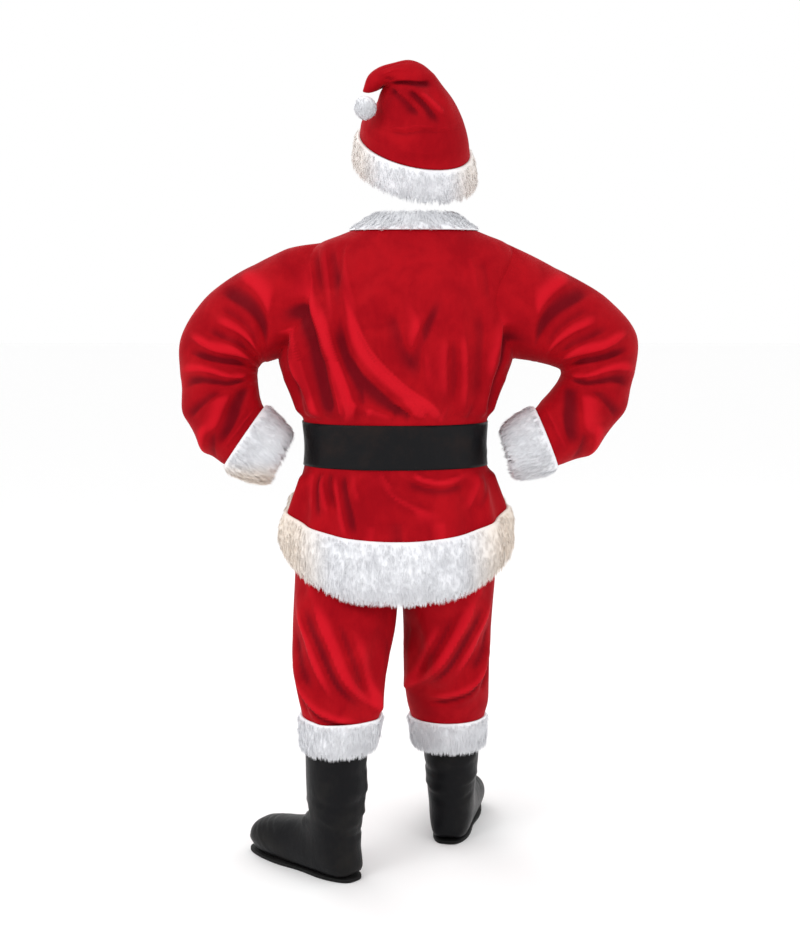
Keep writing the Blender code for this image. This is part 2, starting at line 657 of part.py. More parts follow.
def make_buckle(base):
    """A square frame and its prong, before the belt at the middle of the front."""
    face = belt_surface(FRONT_MIDDLE, BELT_BOTTOM, LEATHER).y - SEAM_GAP
    middle_x = belt_surface(FRONT_MIDDLE, BELT_TOP, 0).x
    middle_z = (BELT_BOTTOM + BELT_TOP) / 2
    sections = []
    for x, z in ((-1, -1), (1, -1), (1, 1), (-1, 1)):
        section = []
        for bar, out in ((0, 0), (0, 1), (1, 1), (1, 0)):
            wide = BUCKLE_HALF_WIDTH - bar * BUCKLE_BAR
            high = BUCKLE_HALF_HEIGHT - bar * BUCKLE_BAR
            corner = (middle_x + x * wide, face - out * BUCKLE_THICK, middle_z + z * high)
            section.append(Vector(corner))
        sections.append(section)
    strip("belt_buckle", sections, GILT, base)

    bm = bmesh.new()
    length = BUCKLE_HALF_WIDTH - BUCKLE_BAR - SEAM_GAP
    bmesh.ops.create_cube(bm, size=1.0)
    bmesh.ops.scale(bm, vec=(2 * length, BUCKLE_THICK, PRONG_WIDTH), verts=bm.verts)
    bmesh.ops.translate(bm, vec=(middle_x, face - BUCKLE_THICK / 2, middle_z), verts=bm.verts)
    finish_object("belt_prong", bm, GILT, base)


# The trousers


def leg_ring(side, height):
    """The arc of half the trousers: its middle, reach, depth and where it ends, in degrees."""
    if height <= CROTCH_HEIGHT:
        ring = sample(LEGS[side], height)
        reach = (ring.outer - ring.inner) / 2
        return ring.outer - reach, ring.y, reach, ring.half_depth, 180.0
    hips = sample(HIPS, height)
    foot = LEGS[side][-1]
    blend = eased(height, CROTCH_HEIGHT, HIPS_JOIN)
    middle_y = foot.y * (1 - blend)
    outer = foot.outer * (1 - blend) + hips.outer * blend
    start = (foot.outer - foot.inner) / 2
    reach = max(hips.reach - (HIPS[0].reach - start) * (1 - blend), outer / 2 + 0.0004)
    reach = min(reach, outer)
    middle = outer - reach
    end = math.degrees(math.acos(-middle / reach))
    return middle, middle_y, reach, hips.half_depth, end


def leg_fold(angle, height):
    total = 0.0
    for fold in LEG_FOLDS:
        run = (fold.top - height) / (fold.top - fold.bottom)
        middle = fold.angle + (fold.bottom_angle - fold.angle) * run
        away = turn_between(angle, middle) / fold.spread
        ends = eased(run, -0.3, 0.3) * (1 - eased(run, 0.8, 1.2))
        total += fold.rise * ends * math.exp(-away * away)
    return total


def leg_point(side, share, height):
    """A point of half the trousers: share runs from the outer seam (0) to the middle (1, -1)."""
    middle, middle_y, reach, depth, end = leg_ring(side, height)
    angle = share * end
    turn = math.radians(angle)
    edge_fade = 1 - eased(abs(share), 0.85, 1.0)
    lift = leg_fold(angle, height) * edge_fade
    x = middle + (reach + lift) * math.cos(turn)
    y = middle_y + (depth + lift) * math.sin(turn)
    way = 1 if side == "left" else -1
    loose = Vector((way * max(x, 0.0), y, height))
    held = eased(height, 0.85, 0.925)
    if held == 0.0:
        return loose
    around = share * 90.0 if side == "left" else 180.0 - share * 90.0
    worn = body_plain(around, max(height, BELT_BOTTOM))
    inward = normal_of(body_plain, around, max(height, BELT_BOTTOM), 0.5, 0.002)
    worn -= inward * (CLOTH + SEAM_GAP * 2)
    worn.z = height
    return loose.lerp(worn, held)


def leg_heights(side):
    low = LEGS[side][0].height + LEG_FUR_HEIGHT
    return steps(low, CROTCH_HEIGHT, 9) + [0.700, 0.760, 0.830, 0.890, 0.930, 1.000]


def make_leg_panel(side, back, base):
    way = 1 if side == "left" else -1
    facing = 1 if back else -1

    def point(share, height):
        return leg_point(side, share, height)

    rows, normals = [], []
    for height in leg_heights(side):
        _, _, reach, _, end = leg_ring(side, height)
        seam = SEAM_GAP / 2 / (reach * math.radians(end))
        shares = [facing * share for share in steps(seam, 1 - seam, LEG_COLUMNS + 1)]
        rows.append([point(share, height) for share in shares])
        normals.append([normal_of(point, share, height, 0.01, 0.003) * way for share in shares])
    # half a seam's gap to the other leg's panels, at the middle
    rows = [[p + Vector((way * SEAM_GAP / 2, 0, 0)) for p in row] for row in rows]
    name = ("trousers_back_" if back else "trousers_front_") + side
    shell(name, rows, CLOTH, VELVET, base, normals=normals)


def make_leg_fur(side, base):
    low = LEGS[side][0].height
    way = 1 if side == "left" else -1

    def place(angle, across, out):
        height = low + LEG_FUR_HEIGHT * min(max(across, 0.0), 1.0)
        drop = SEAM_GAP if across == 1.0 else -min(across, 0.0) * LEG_FUR_HEIGHT
        middle, middle_y, _, _, _ = leg_ring(side, height)
        point = leg_point(side, angle / 180.0, height)
        away = (point - Vector((way * middle, middle_y, height))).normalized()
        return point + Vector((way * SEAM_GAP / 2, 0, -drop)) + away * out

    stations = steps(180.0, -180.0, 25)[:-1]
    fur_strip("trouser_fur_" + side, place, stations, LEG_FUR, base)


# The boot covers


def boot_frame(side):
    place = BOOTS[side]
    toe = Vector((place.toe_x, place.toe_y, 0)).normalized()
    return Vector((place.x, place.y, 0)), toe, Vector((-toe.y, toe.x, 0))


def boot_point(side, at, turn):
    start, toe, across = boot_frame(side)
    ring = sample(BOOT_RINGS, at)
    rear = start + toe * ring.rear_along + Vector((0, 0, ring.rear_z))
    fore = start + toe * ring.fore_along + Vector((0, 0, ring.fore_z))
    angle = math.radians(turn)
    spoke = (rear - fore) / 2 * math.cos(angle)
    # under the foot the section is squarer, to meet the sole
    squareness = 0.85 - 0.35 * eased(at, 4.5, 6.5) * max(math.cos(angle), 0.0)
    sideways = across * ring.half_width * signed_power(math.sin(angle), squareness)
    point = (rear + fore) / 2 + spoke + sideways
    point.z = max(point.z, SOLE_TOP + SEAM_GAP)
    return point


def make_boot(side, base):
    turns = [360.0 * i / BOOT_AROUND for i in range(BOOT_AROUND)]
    end = BOOT_RINGS[-1].at
    rows = []
    for i in range(BOOT_ROWS):
        at = end * i / (BOOT_ROWS - 1)
        rows.append([boot_point(side, at, turn) for turn in turns])
    shell("boot_" + side, rows, LEATHER, LEATHERETTE, base, around=True, tip=True)

    start, toe, across = boot_frame(side)
    length = SOLE_TOE - SOLE_HEEL
    bm = bmesh.new()
    outline = []
    for i in range(28):
        turn = 2 * math.pi * i / 28
        along = SOLE_HEEL + length * (1 - math.cos(turn)) / 2
        share = (along - SOLE_HEEL) / length
        waist = 1 - 0.16 * math.exp(-(((share - 0.42) / 0.16) ** 2)) + 0.06 * share
        reach = SOLE_HALF_WIDTH * signed_power(math.sin(turn), 0.62) * waist
        outline.append(bm.verts.new(start + toe * along + across * reach))
    made = bmesh.ops.extrude_face_region(bm, geom=[bm.faces.new(outline)])
    moved = [part for part in made["geom"] if isinstance(part, bmesh.types.BMVert)]
    bmesh.ops.translate(bm, vec=(0, 0, SOLE_TOP), verts=moved)
    finish_object("sole_" + side, bm, SOLE, base)


# The hat


def hat_fold(at, turn):
    total = 0.0
    for fold in HAT_FOLDS:
        along = (at - fold.at) / fold.length
        round_it = turn_between(turn, fold.angle) / fold.spread
        total += fold.rise * math.exp(-along * along - round_it * round_it)
    return total


def hat_crown_point(at, turn):
    """Turn runs from the wearer's left (0) by the back (90)."""
    angle = math.radians(turn)
    last = HAT_RINGS[-1].at
    if at <= last:
        ring = sample(HAT_RINGS, at)
        lean = math.radians(ring.lean)
        lift = hat_fold(at, turn)
        tilt = HAT_TILT * (1 - eased(at, 0.0, 4.0))
        right = Vector((1, 0, tilt)) * (ring.across + lift)
        rear = Vector((0, math.cos(lean), -math.sin(lean))) * (ring.depth + lift)
        return Vector((ring.x, ring.y, ring.z)) + right * math.cos(angle) + rear * math.sin(angle)
    ring = sample(HAT_END, at - last - 1)
    under = Vector((ring.under_x, ring.y, ring.under_z))
    upper = Vector((ring.upper_x, ring.y, ring.upper_z))
    spoke = (under - upper) / 2 * math.cos(angle)
    return (under + upper) / 2 + spoke + Vector((0, math.sin(angle) * ring.half_depth, 0))


def make_hat(base):
    turns = [360.0 * i / HAT_AROUND for i in range(HAT_AROUND)]
    rows = [[hat_crown_point(at, turn) for turn in turns] for at in HAT_LEVELS]
    normals = row_normals(rows, True)
    middle = Vector((HAT_RINGS[0].x, HAT_RINGS[0].y, HAT_RINGS[0].z))
    normals[0] = [tuple((point - middle).normalized()) for point in rows[0]]
    shell("hat_crown", rows, CLOTH, VELVET, base, around=True, normals=normals, tip=True)

    def place(turn, across, out):
        """The band runs down from the crown's edge, in the line of the crown."""
        point = hat_crown_point(0.0, turn)
        up = (hat_crown_point(0.6, turn) - point).normalized()
        centre = Vector((HAT_RINGS[0].x, HAT_RINGS[0].y, HAT_RINGS[0].z))
        away = (point - centre).normalized()
        drop = SEAM_GAP if across == 1.0 else HAT_BAND_HEIGHT * (1 - across)
        return point - up * drop + away * out

    fur_strip("hat_band_fur", place, turns, HAT_BAND_FUR, base)

    bm = bmesh.new()
    bmesh.ops.create_icosphere(bm, subdivisions=2, radius=POMPOM_RADIUS)
    locks = list(bm.faces)
    bmesh.ops.inset_individual(bm, faces=locks, thickness=POMPOM_LOCK_GAP)
    for lock in locks:
        away = lock.calc_center_median().normalized()
        bmesh.ops.translate(bm, vec=away * POMPOM_LOCK, verts=lock.verts)
    bmesh.ops.translate(bm, vec=POMPOM_CENTRE, verts=bm.verts)
    finish_object("hat_pompom", bm, FUR, base)


def main():
    clear_scene()
    base = bpy.data.objects.new("suit_on_wearer", None)
    base.location = (0, 0, -WAIST_HEIGHT)
    bpy.context.scene.collection.objects.link(base)
    make_body_panel("jacket_back", 0, 180, BACK_COLUMNS, base)
    make_body_panel("jacket_front_left", -90, 0, FRONT_COLUMNS, base)
    make_body_panel("jacket_front_right", 180, 270, FRONT_COLUMNS, base)
    for side in ("left", "right"):
        make_sleeve(side, base)
        make_cuff(side, base)
        for back in (True, False):
            make_leg_panel(side, back, base)
        make_leg_fur(side, base)
        make_boot(side, base)
    make_hem_fur(base)
    make_front_band(base)
    make_collar(base)
    make_belt(base)
    make_buckle(base)
    make_hat(base)


main()
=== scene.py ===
import math

import bmesh
import bpy
import numpy as np
from mathutils import Matrix, Vector


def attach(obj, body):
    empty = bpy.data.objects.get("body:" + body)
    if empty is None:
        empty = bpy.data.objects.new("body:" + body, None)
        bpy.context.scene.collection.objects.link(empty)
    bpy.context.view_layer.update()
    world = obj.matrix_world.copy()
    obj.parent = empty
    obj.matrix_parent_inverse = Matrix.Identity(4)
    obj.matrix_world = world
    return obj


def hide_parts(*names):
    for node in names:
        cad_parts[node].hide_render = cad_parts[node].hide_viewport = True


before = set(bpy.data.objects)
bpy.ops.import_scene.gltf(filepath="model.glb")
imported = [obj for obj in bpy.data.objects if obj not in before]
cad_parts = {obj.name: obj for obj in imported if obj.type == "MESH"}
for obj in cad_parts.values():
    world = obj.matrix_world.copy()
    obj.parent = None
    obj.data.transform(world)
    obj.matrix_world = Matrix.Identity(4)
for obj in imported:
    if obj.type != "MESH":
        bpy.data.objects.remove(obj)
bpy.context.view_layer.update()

# The suit as it is worn. +X is the wearer's left, the wearer faces -Y, and the waist is the origin.
# Heights in the tables are above the floor; lowerBy takes each finished point down to the frame.
# The rise of a fold or a crease is in millimetres, and so is a table inside metres or placed.
common = {
    "lowerBy": 0.98,
    "wall": 0.002,
    "seamGap": 0.0003,
    "weld": 2e-5,
    "beltBottom": 0.930,
    "beltTop": 1.030,
    "frontMiddle": -90.0,
    # how far red cloth runs in under a strip of fur
    "underFur": 0.004,
}
ways = {"left": 1, "right": -1}


def metres(rows):
    # a table given in millimetres
    return np.array(rows) / 1000


def placed(rows):
    # the same, its rows numbered from 0 as places along a piece
    return np.column_stack([np.arange(len(rows)), metres(rows)])


def sampleRows(rows, keys):
    # columns of the table at these keys, on a smooth curve through its rows
    table = np.array(rows, float)
    first = table[:, 0]
    keys = np.clip(np.asarray(keys, float), first[0], first[-1])
    high = np.clip(np.searchsorted(first, keys), 1, len(first) - 1)
    low = high - 1
    before = np.maximum(low - 1, 0)
    after = np.minimum(high + 1, len(first) - 1)
    step = (first[high] - first[low])[..., None]
    share = (keys - first[low])[..., None] / step
    slopeLow = (table[high] - table[before]) / (first[high] - first[before])[..., None] * step
    slopeHigh = (table[after] - table[low]) / (first[after] - first[low])[..., None] * step
    values = (
        table[low] * (1 + 2 * share) * (1 - share) ** 2
        + table[high] * share**2 * (3 - 2 * share)
        + slopeLow * share * (1 - share) ** 2
        - slopeHigh * share**2 * (1 - share)
    )
    return np.moveaxis(values, -1, 0)[1:]


def eased(value, low, high):
    share = np.clip((value - low) / (high - low), 0.0, 1.0)
    return share * share * (3 - 2 * share)


def signedPower(value, power):
    return np.sign(value) * np.abs(value) ** power


def turnBetween(first, second):
    return (first - second + 180.0) % 360.0 - 180.0


def matched(first, second):
    return np.broadcast_arrays(np.asarray(first, float), np.asarray(second, float))


def unit(vectors):
    return vectors / np.maximum(np.linalg.norm(vectors, axis=-1, keepdims=True), 1e-12)


def stack(x, y, z):
    return np.stack(np.broadcast_arrays(x, y, z), axis=-1).astype(float)


def normalOf(surface, first, second, stepFirst, stepSecond):
    across = surface(first + stepFirst, second) - surface(first - stepFirst, second)
    along = surface(first, second + stepSecond) - surface(first, second - stepSecond)
    return unit(np.cross(across, along))


def creaseLift(x, z, creases):
    # each crease is its rise (or dip) in millimetres, half its width and a line of points, both in
    # the units of x and z; it is steeper on one side than on the other, and dies away at its ends
    total = np.zeros(np.broadcast(x, z).shape)
    for rise, width, *line in creases:
        last = len(line) // 2 - 1
        count = 4 * last
        keyed = [(i, line[2 * i], line[2 * i + 1]) for i in range(last + 1)]
        lineX, lineZ = sampleRows(keyed, np.linspace(0, last, count + 1))
        nearest = np.full(total.shape, np.inf)
        side = np.zeros(total.shape)
        along = np.zeros(total.shape)
        for i in range(count):
            runX, runZ = lineX[i + 1] - lineX[i], lineZ[i + 1] - lineZ[i]
            length = runX * runX + runZ * runZ
            share = np.clip(((x - lineX[i]) * runX + (z - lineZ[i]) * runZ) / length, 0, 1)
            offX = x - lineX[i] - share * runX
            offZ = z - lineZ[i] - share * runZ
            away = np.hypot(offX, offZ)
            closer = away < nearest
            nearest = np.where(closer, away, nearest)
            side = np.where(closer, np.sign(runX * offZ - runZ * offX), side)
            along = np.where(closer, (i + share) / count, along)
        reach = width * (1 + 0.45 * side)
        ends = eased(along, -0.02, 0.22) * (1 - eased(along, 0.72, 1.02))
        total += rise / 1000 * (0.12 + 0.88 * ends) * np.exp(-((nearest / reach) ** 2))
    return total


def creasesAround(at, turn, scale, seam, creases):
    # creases over an unrolled tube, in degrees and in places times the scale; they may run over
    # the tube's seam, so each is also looked up a full turn on, and the stronger one is kept
    wrapped = np.where(turn > seam, turn - 360.0, turn)
    first = creaseLift(at * scale, wrapped, creases)
    again = creaseLift(at * scale, wrapped + 360.0, creases)
    return np.where(np.abs(again) > np.abs(first), again, first)


def foldLift(angle, height, folds, start, stop):
    # broad folds from one angle and height to another, which swell over start and die over stop
    total = np.zeros(np.broadcast(angle, height).shape)
    for topAngle, top, bottomAngle, bottom, rise, spread in folds:
        run = (top - height) / (top - bottom)
        away = turnBetween(angle, topAngle + (bottomAngle - topAngle) * run) / spread
        ends = eased(run, *start) * (1 - eased(run, *stop))
        total += rise / 1000 * ends * np.exp(-away * away)
    return total


def swellLift(at, turn, folds):
    # broad folds that each swell round one place and angle
    total = np.zeros(np.broadcast(at, turn).shape)
    for place, angle, rise, length, spread in folds:
        along = (at - place) / length
        aside = turnBetween(turn, angle) / spread
        total += rise / 1000 * np.exp(-along * along - aside * aside)
    return total


def meshFrom(bm, name):
    mesh = bpy.data.meshes.new(name)
    bm.to_mesh(mesh)
    bm.free()
    return mesh


def raised(bm, faces, rise):
    # draws the faces up on walls of their own, and gives their points and the faces
    made = bmesh.ops.extrude_face_region(bm, geom=faces)["geom"]
    verts = [item for item in made if isinstance(item, bmesh.types.BMVert)]
    bmesh.ops.translate(bm, vec=(0, 0, rise), verts=verts)
    return verts, [item for item in made if isinstance(item, bmesh.types.BMFace)]


def spanOf(edge, axis):
    return abs(edge.verts[0].co[axis] - edge.verts[1].co[axis])


def bevelEdges(bm, edges, offset, segments):
    bmesh.ops.bevel(
        bm, geom=edges, offset=offset, segments=segments, profile=0.5, affect="EDGES", material=-1
    )


def finishMesh(mesh, material, smooth=True, sharpFrom=None):
    mesh.materials.clear()
    mesh.materials.append(material)
    if smooth:
        mesh.shade_smooth()
    if sharpFrom:
        mesh.set_sharp_from_angle(angle=math.radians(sharpFrom))
    piece = bpy.data.objects.new(mesh.name, mesh)
    bpy.context.scene.collection.objects.link(piece)
    return piece


def fitPiece(piece, node, slot, **cut):
    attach(piece, "root")
    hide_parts(node)


def clothPiece(name, columns, rows, surface, material, tube=False, flip=False):
    # a grid whose points the surface moves; a tube's two edges are welded into one
    bm = bmesh.new()
    bmesh.ops.create_grid(bm, x_segments=columns, y_segments=rows, size=0.5)
    flat = np.array([v.co[:2] for v in bm.verts]) + 0.5
    points, depth = surface(flat[:, 0], flat[:, 1])
    points = points - np.array([0, 0, common["lowerBy"]])
    for vert, point in zip(bm.verts, points):
        vert.co = point
    # each point's fine lift, which the velvet turns into painted shade in its dips and a painted highlight on
    # its ridges
    layer = bm.verts.layers.float.new("fold")
    for vert, value in zip(bm.verts, depth):
        vert[layer] = value
    if tube:
        bmesh.ops.remove_doubles(bm, verts=bm.verts, dist=common["weld"])
    if flip:
        bmesh.ops.reverse_faces(bm, faces=bm.faces)
    piece = finishMesh(meshFrom(bm, name), material)
    solid = piece.modifiers.new("wall", "SOLIDIFY")
    solid.thickness = common["wall"]
    solid.offset = -1
    solid.use_even_offset = False
    return piece


# Materials


def nodeGroup(name, numbers, outputs):
    # a group that is given a place and some numbers, and puts out plain values
    group = bpy.data.node_groups.new(name, "ShaderNodeTree")
    group.interface.new_socket("Vector", in_out="INPUT", socket_type="NodeSocketVector")
    for label, value in numbers.items():
        socket = group.interface.new_socket(label, in_out="INPUT", socket_type="NodeSocketFloat")
        socket.default_value = value
    for label in outputs:
        group.interface.new_socket(label, in_out="OUTPUT", socket_type="NodeSocketFloat")
    given = group.nodes.new("NodeGroupInput")
    made = group.nodes.new("NodeGroupOutput")
    return group, given.outputs, made


def feed(node, inputs):
    # each input takes a value, or is linked where it is given another node's socket
    for label, value in inputs.items():
        if isinstance(value, bpy.types.NodeSocket):
            node.id_data.links.new(value, node.inputs[label])
        else:
            node.inputs[label].default_value = value


def addNode(tree, kind, inputs=None, **settings):
    node = tree.nodes.new(kind)
    for key, value in settings.items():
        setattr(node, key, value)
    feed(node, inputs or {})
    return node


def noiseOf(tree, vector, scale, detail=3.0, rough=0.5, stretch=None, distortion=0.0):
    if stretch:
        vector = addNode(tree, "ShaderNodeMapping", {"Scale": stretch, "Vector": vector}).outputs["Vector"]
    inputs = {"Vector": vector, "Scale": scale, "Detail": detail}
    inputs.update({"Roughness": rough, "Distortion": distortion})
    return addNode(tree, "ShaderNodeTexNoise", inputs).outputs["Fac"]


def rampOf(tree, value, low, high, toLow=0.0, toHigh=1.0):
    inputs = {"Value": value, "From Min": low, "From Max": high, "To Min": toLow, "To Max": toHigh}
    return addNode(tree, "ShaderNodeMapRange", inputs, interpolation_type="SMOOTHSTEP").outputs["Result"]


def mathOf(tree, operation, first, second):
    return addNode(tree, "ShaderNodeMath", {0: first, 1: second}, operation=operation).outputs[0]


def mixOf(tree, factor, first, second, blend="MIX"):
    # 0, 6 and 7 are the colour mix's factor and its two colours, and 2 is what comes out
    inputs = {0: factor, 6: first, 7: second}
    return addNode(tree, "ShaderNodeMix", inputs, data_type="RGBA", blend_type=blend).outputs[2]


def bumpOf(tree, height, strength, distance, **under):
    inputs = {"Height": height, "Strength": strength, "Distance": distance, **under}
    return addNode(tree, "ShaderNodeBump", inputs).outputs["Normal"]


def newMaterial(name, constants):
    material = bpy.data.materials.new(name)
    material.use_nodes = True
    tree = material.node_tree
    shader = tree.nodes["Principled BSDF"]
    feed(shader, constants)
    where = addNode(tree, "ShaderNodeTexCoord").outputs["Object"]
    return material, tree, shader, where


def makeNapGroup():
    # the lie of a pile: broad brushed patches, streaks down the cloth and single threads
    scales = {"Patch Scale": 9.0, "Streak Scale": 60.0}
    group, given, made = nodeGroup("pileLie", scales, ("Lie", "Threads"))
    where = given["Vector"]
    patches = noiseOf(group, where, given["Patch Scale"], 4.0, distortion=0.6)
    streaks = noiseOf(group, where, given["Streak Scale"], stretch=(1.0, 1.0, 0.55))
    both = mathOf(group, "MULTIPLY", patches, 0.80)
    both = mathOf(group, "ADD", both, mathOf(group, "MULTIPLY", streaks, 0.20))
    threads = noiseOf(group, where, 900.0, 2.0, 0.6)
    feed(made, {"Lie": rampOf(group, both, 0.30, 0.70), "Threads": threads})
    return group


def makeGrainGroup():
    # coated cloth: a fine pebbled grain, and soft creases where it has been bent
    group, given, made = nodeGroup("coatedGrain", {"Grain Scale": 520.0}, ("Grain", "Creases", "Scuffs"))
    where = given["Vector"]
    inputs = {"Vector": where, "Scale": given["Grain Scale"]}
    cells = addNode(group, "ShaderNodeTexVoronoi", inputs, feature="DISTANCE_TO_EDGE").outputs["Distance"]
    creases = noiseOf(group, where, 26.0, 5.0, 0.6, (1.0, 1.0, 0.55))
    scuffs = noiseOf(group, where, 7.0, 5.0, 0.7)
    feed(made, {
        "Grain": rampOf(group, cells, 0.0, 0.28),
        "Creases": rampOf(group, creases, 0.30, 0.70),
        "Scuffs": rampOf(group, scuffs, 0.45, 0.75),
    })
    return group


napGroup = makeNapGroup()
grainGroup = makeGrainGroup()

# the velvet's colours: worn and plain are its own tones, the darkest is painted shade for the dips of creases
# and seams, and raised is a painted highlight on their ridges
velvetLook = {
    "paintedDipShade": (0.105, 0.0004, 0.0045, 1.0),
    "worn": (0.285, 0.0010, 0.0056, 1.0),
    "plain": (0.395, 0.0014, 0.0066, 1.0),
    "raised": (0.600, 0.0060, 0.0160, 1.0),
    "rough": 0.78,
}


def makeVelvet():
    constants = {
        "Roughness": velvetLook["rough"],
        "Specular IOR Level": 0.08,
        "Sheen Weight": 0.16,
        "Sheen Roughness": 0.35,
        "Sheen Tint": (1.0, 0.16, 0.20, 1.0),
    }
    material, tree, shader, where = newMaterial("velvet", constants)
    inputs = {"Vector": where, "Patch Scale": 11.0, "Streak Scale": 70.0}
    nap = addNode(tree, "ShaderNodeGroup", inputs, node_tree=napGroup).outputs
    fold = addNode(tree, "ShaderNodeAttribute", attribute_name="fold").outputs["Fac"]
    # down masks painted shade in the dips of the folds, up masks a painted highlight on their ridges
    down = rampOf(tree, fold, -0.0080, -0.0002, 1.0, 0.0)
    up = rampOf(tree, fold, 0.0010, 0.0080)
    colour = mixOf(tree, nap["Lie"], velvetLook["worn"], velvetLook["plain"])
    # a painted highlight on the ridges, then painted shade in the dips, over the nap's own tones
    colour = mixOf(tree, mathOf(tree, "MULTIPLY", up, 0.80), colour, velvetLook["raised"])
    colour = mixOf(tree, mathOf(tree, "MULTIPLY", down, 0.80), colour, velvetLook["paintedDipShade"])
    rough = rampOf(tree, nap["Lie"], 0.0, 1.0, 0.86, 0.70)
    normal = bumpOf(tree, mathOf(tree, "MULTIPLY", nap["Lie"], 0.7), 0.35, 0.0012)
    normal = bumpOf(tree, nap["Threads"], 0.30, 0.0004, Normal=normal)
    feed(shader, {"Base Color": colour, "Roughness": rough, "Normal": normal})
    return material


def makeFur(name, root, tip):
    constants = {
        "Roughness": 0.75,
        "Specular IOR Level": 0.10,
        "Sheen Weight": 0.10,
        "Sheen Roughness": 0.5,
    }
    material, tree, shader, where = newMaterial(name, constants)
    # the attribute holds each point's own tone together with painted shade at the roots and on the backing
    toneAndShade = addNode(tree, "ShaderNodeAttribute", attribute_name="toneAndShade").outputs["Color"]
    patches = rampOf(tree, noiseOf(tree, where, 24.0), 0.32, 0.68)
    colour = mixOf(tree, 1.0, toneAndShade, mixOf(tree, patches, root, tip), "MULTIPLY")
    feed(shader, {"Base Color": colour, "Roughness": rampOf(tree, patches, 0.0, 1.0, 0.70, 0.55)})
    return material


def makeCoated(name, plain, scuffed, rough, grainScale, creaseDepth, specular):
    constants = {"Roughness": rough[0], "Specular IOR Level": specular}
    material, tree, shader, where = newMaterial(name, constants)
    inputs = {"Vector": where, "Grain Scale": grainScale}
    grain = addNode(tree, "ShaderNodeGroup", inputs, node_tree=grainGroup).outputs
    colour = mixOf(tree, grain["Scuffs"], plain, scuffed)
    gloss = rampOf(tree, grain["Scuffs"], 0.0, 1.0, *rough)
    normal = bumpOf(tree, grain["Creases"], 0.5, creaseDepth)
    normal = bumpOf(tree, grain["Grain"], 0.35, 0.0002, Normal=normal)
    feed(shader, {"Base Color": colour, "Roughness": gloss, "Normal": normal})
    return material


def makeGilt():
    constants = {"Metallic": 1.0, "Roughness": 0.26, "Coat Weight": 0.25, "Coat Roughness": 0.12}
    material, tree, shader, where = newMaterial("giltMetal", constants)
    wear = rampOf(tree, noiseOf(tree, where, 60.0, 5.0, 0.7), 0.42, 0.72)
    brushed = noiseOf(tree, where, 300.0, 3.0, 0.6, (1.0, 1.0, 8.0))
    feed(shader, {
        "Base Color": mixOf(tree, wear, (0.80, 0.56, 0.20, 1.0), (0.62, 0.44, 0.20, 1.0)),
        "Roughness": rampOf(tree, brushed, 0.3, 0.7, 0.20, 0.34),
        "Normal": bumpOf(tree, brushed, 0.15, 0.0002),
    })
    return material


velvet = makeVelvet()
whiteFur = makeFur("whiteFur", (0.86, 0.86, 0.87, 1.0), (0.96, 0.96, 0.965, 1.0))
black = (0.006, 0.006, 0.007, 1.0)
leatherette = makeCoated(
    "leatherette", black, (0.014, 0.013, 0.012, 1.0), (0.34, 0.46), 620.0, 0.0012, 0.09
)
beltSatin = makeCoated(
    "beltSatin", black, (0.016, 0.010, 0.009, 1.0), (0.38, 0.50), 900.0, 0.0016, 0.11
)
soleRubber = makeCoated(
    "soleRubber", (0.006, 0.006, 0.006, 1.0), (0.013, 0.012, 0.012, 1.0), (0.62, 0.78), 420.0, 0.0004, 0.20
)
gilt = makeGilt()
print("materials made")


# The jacket

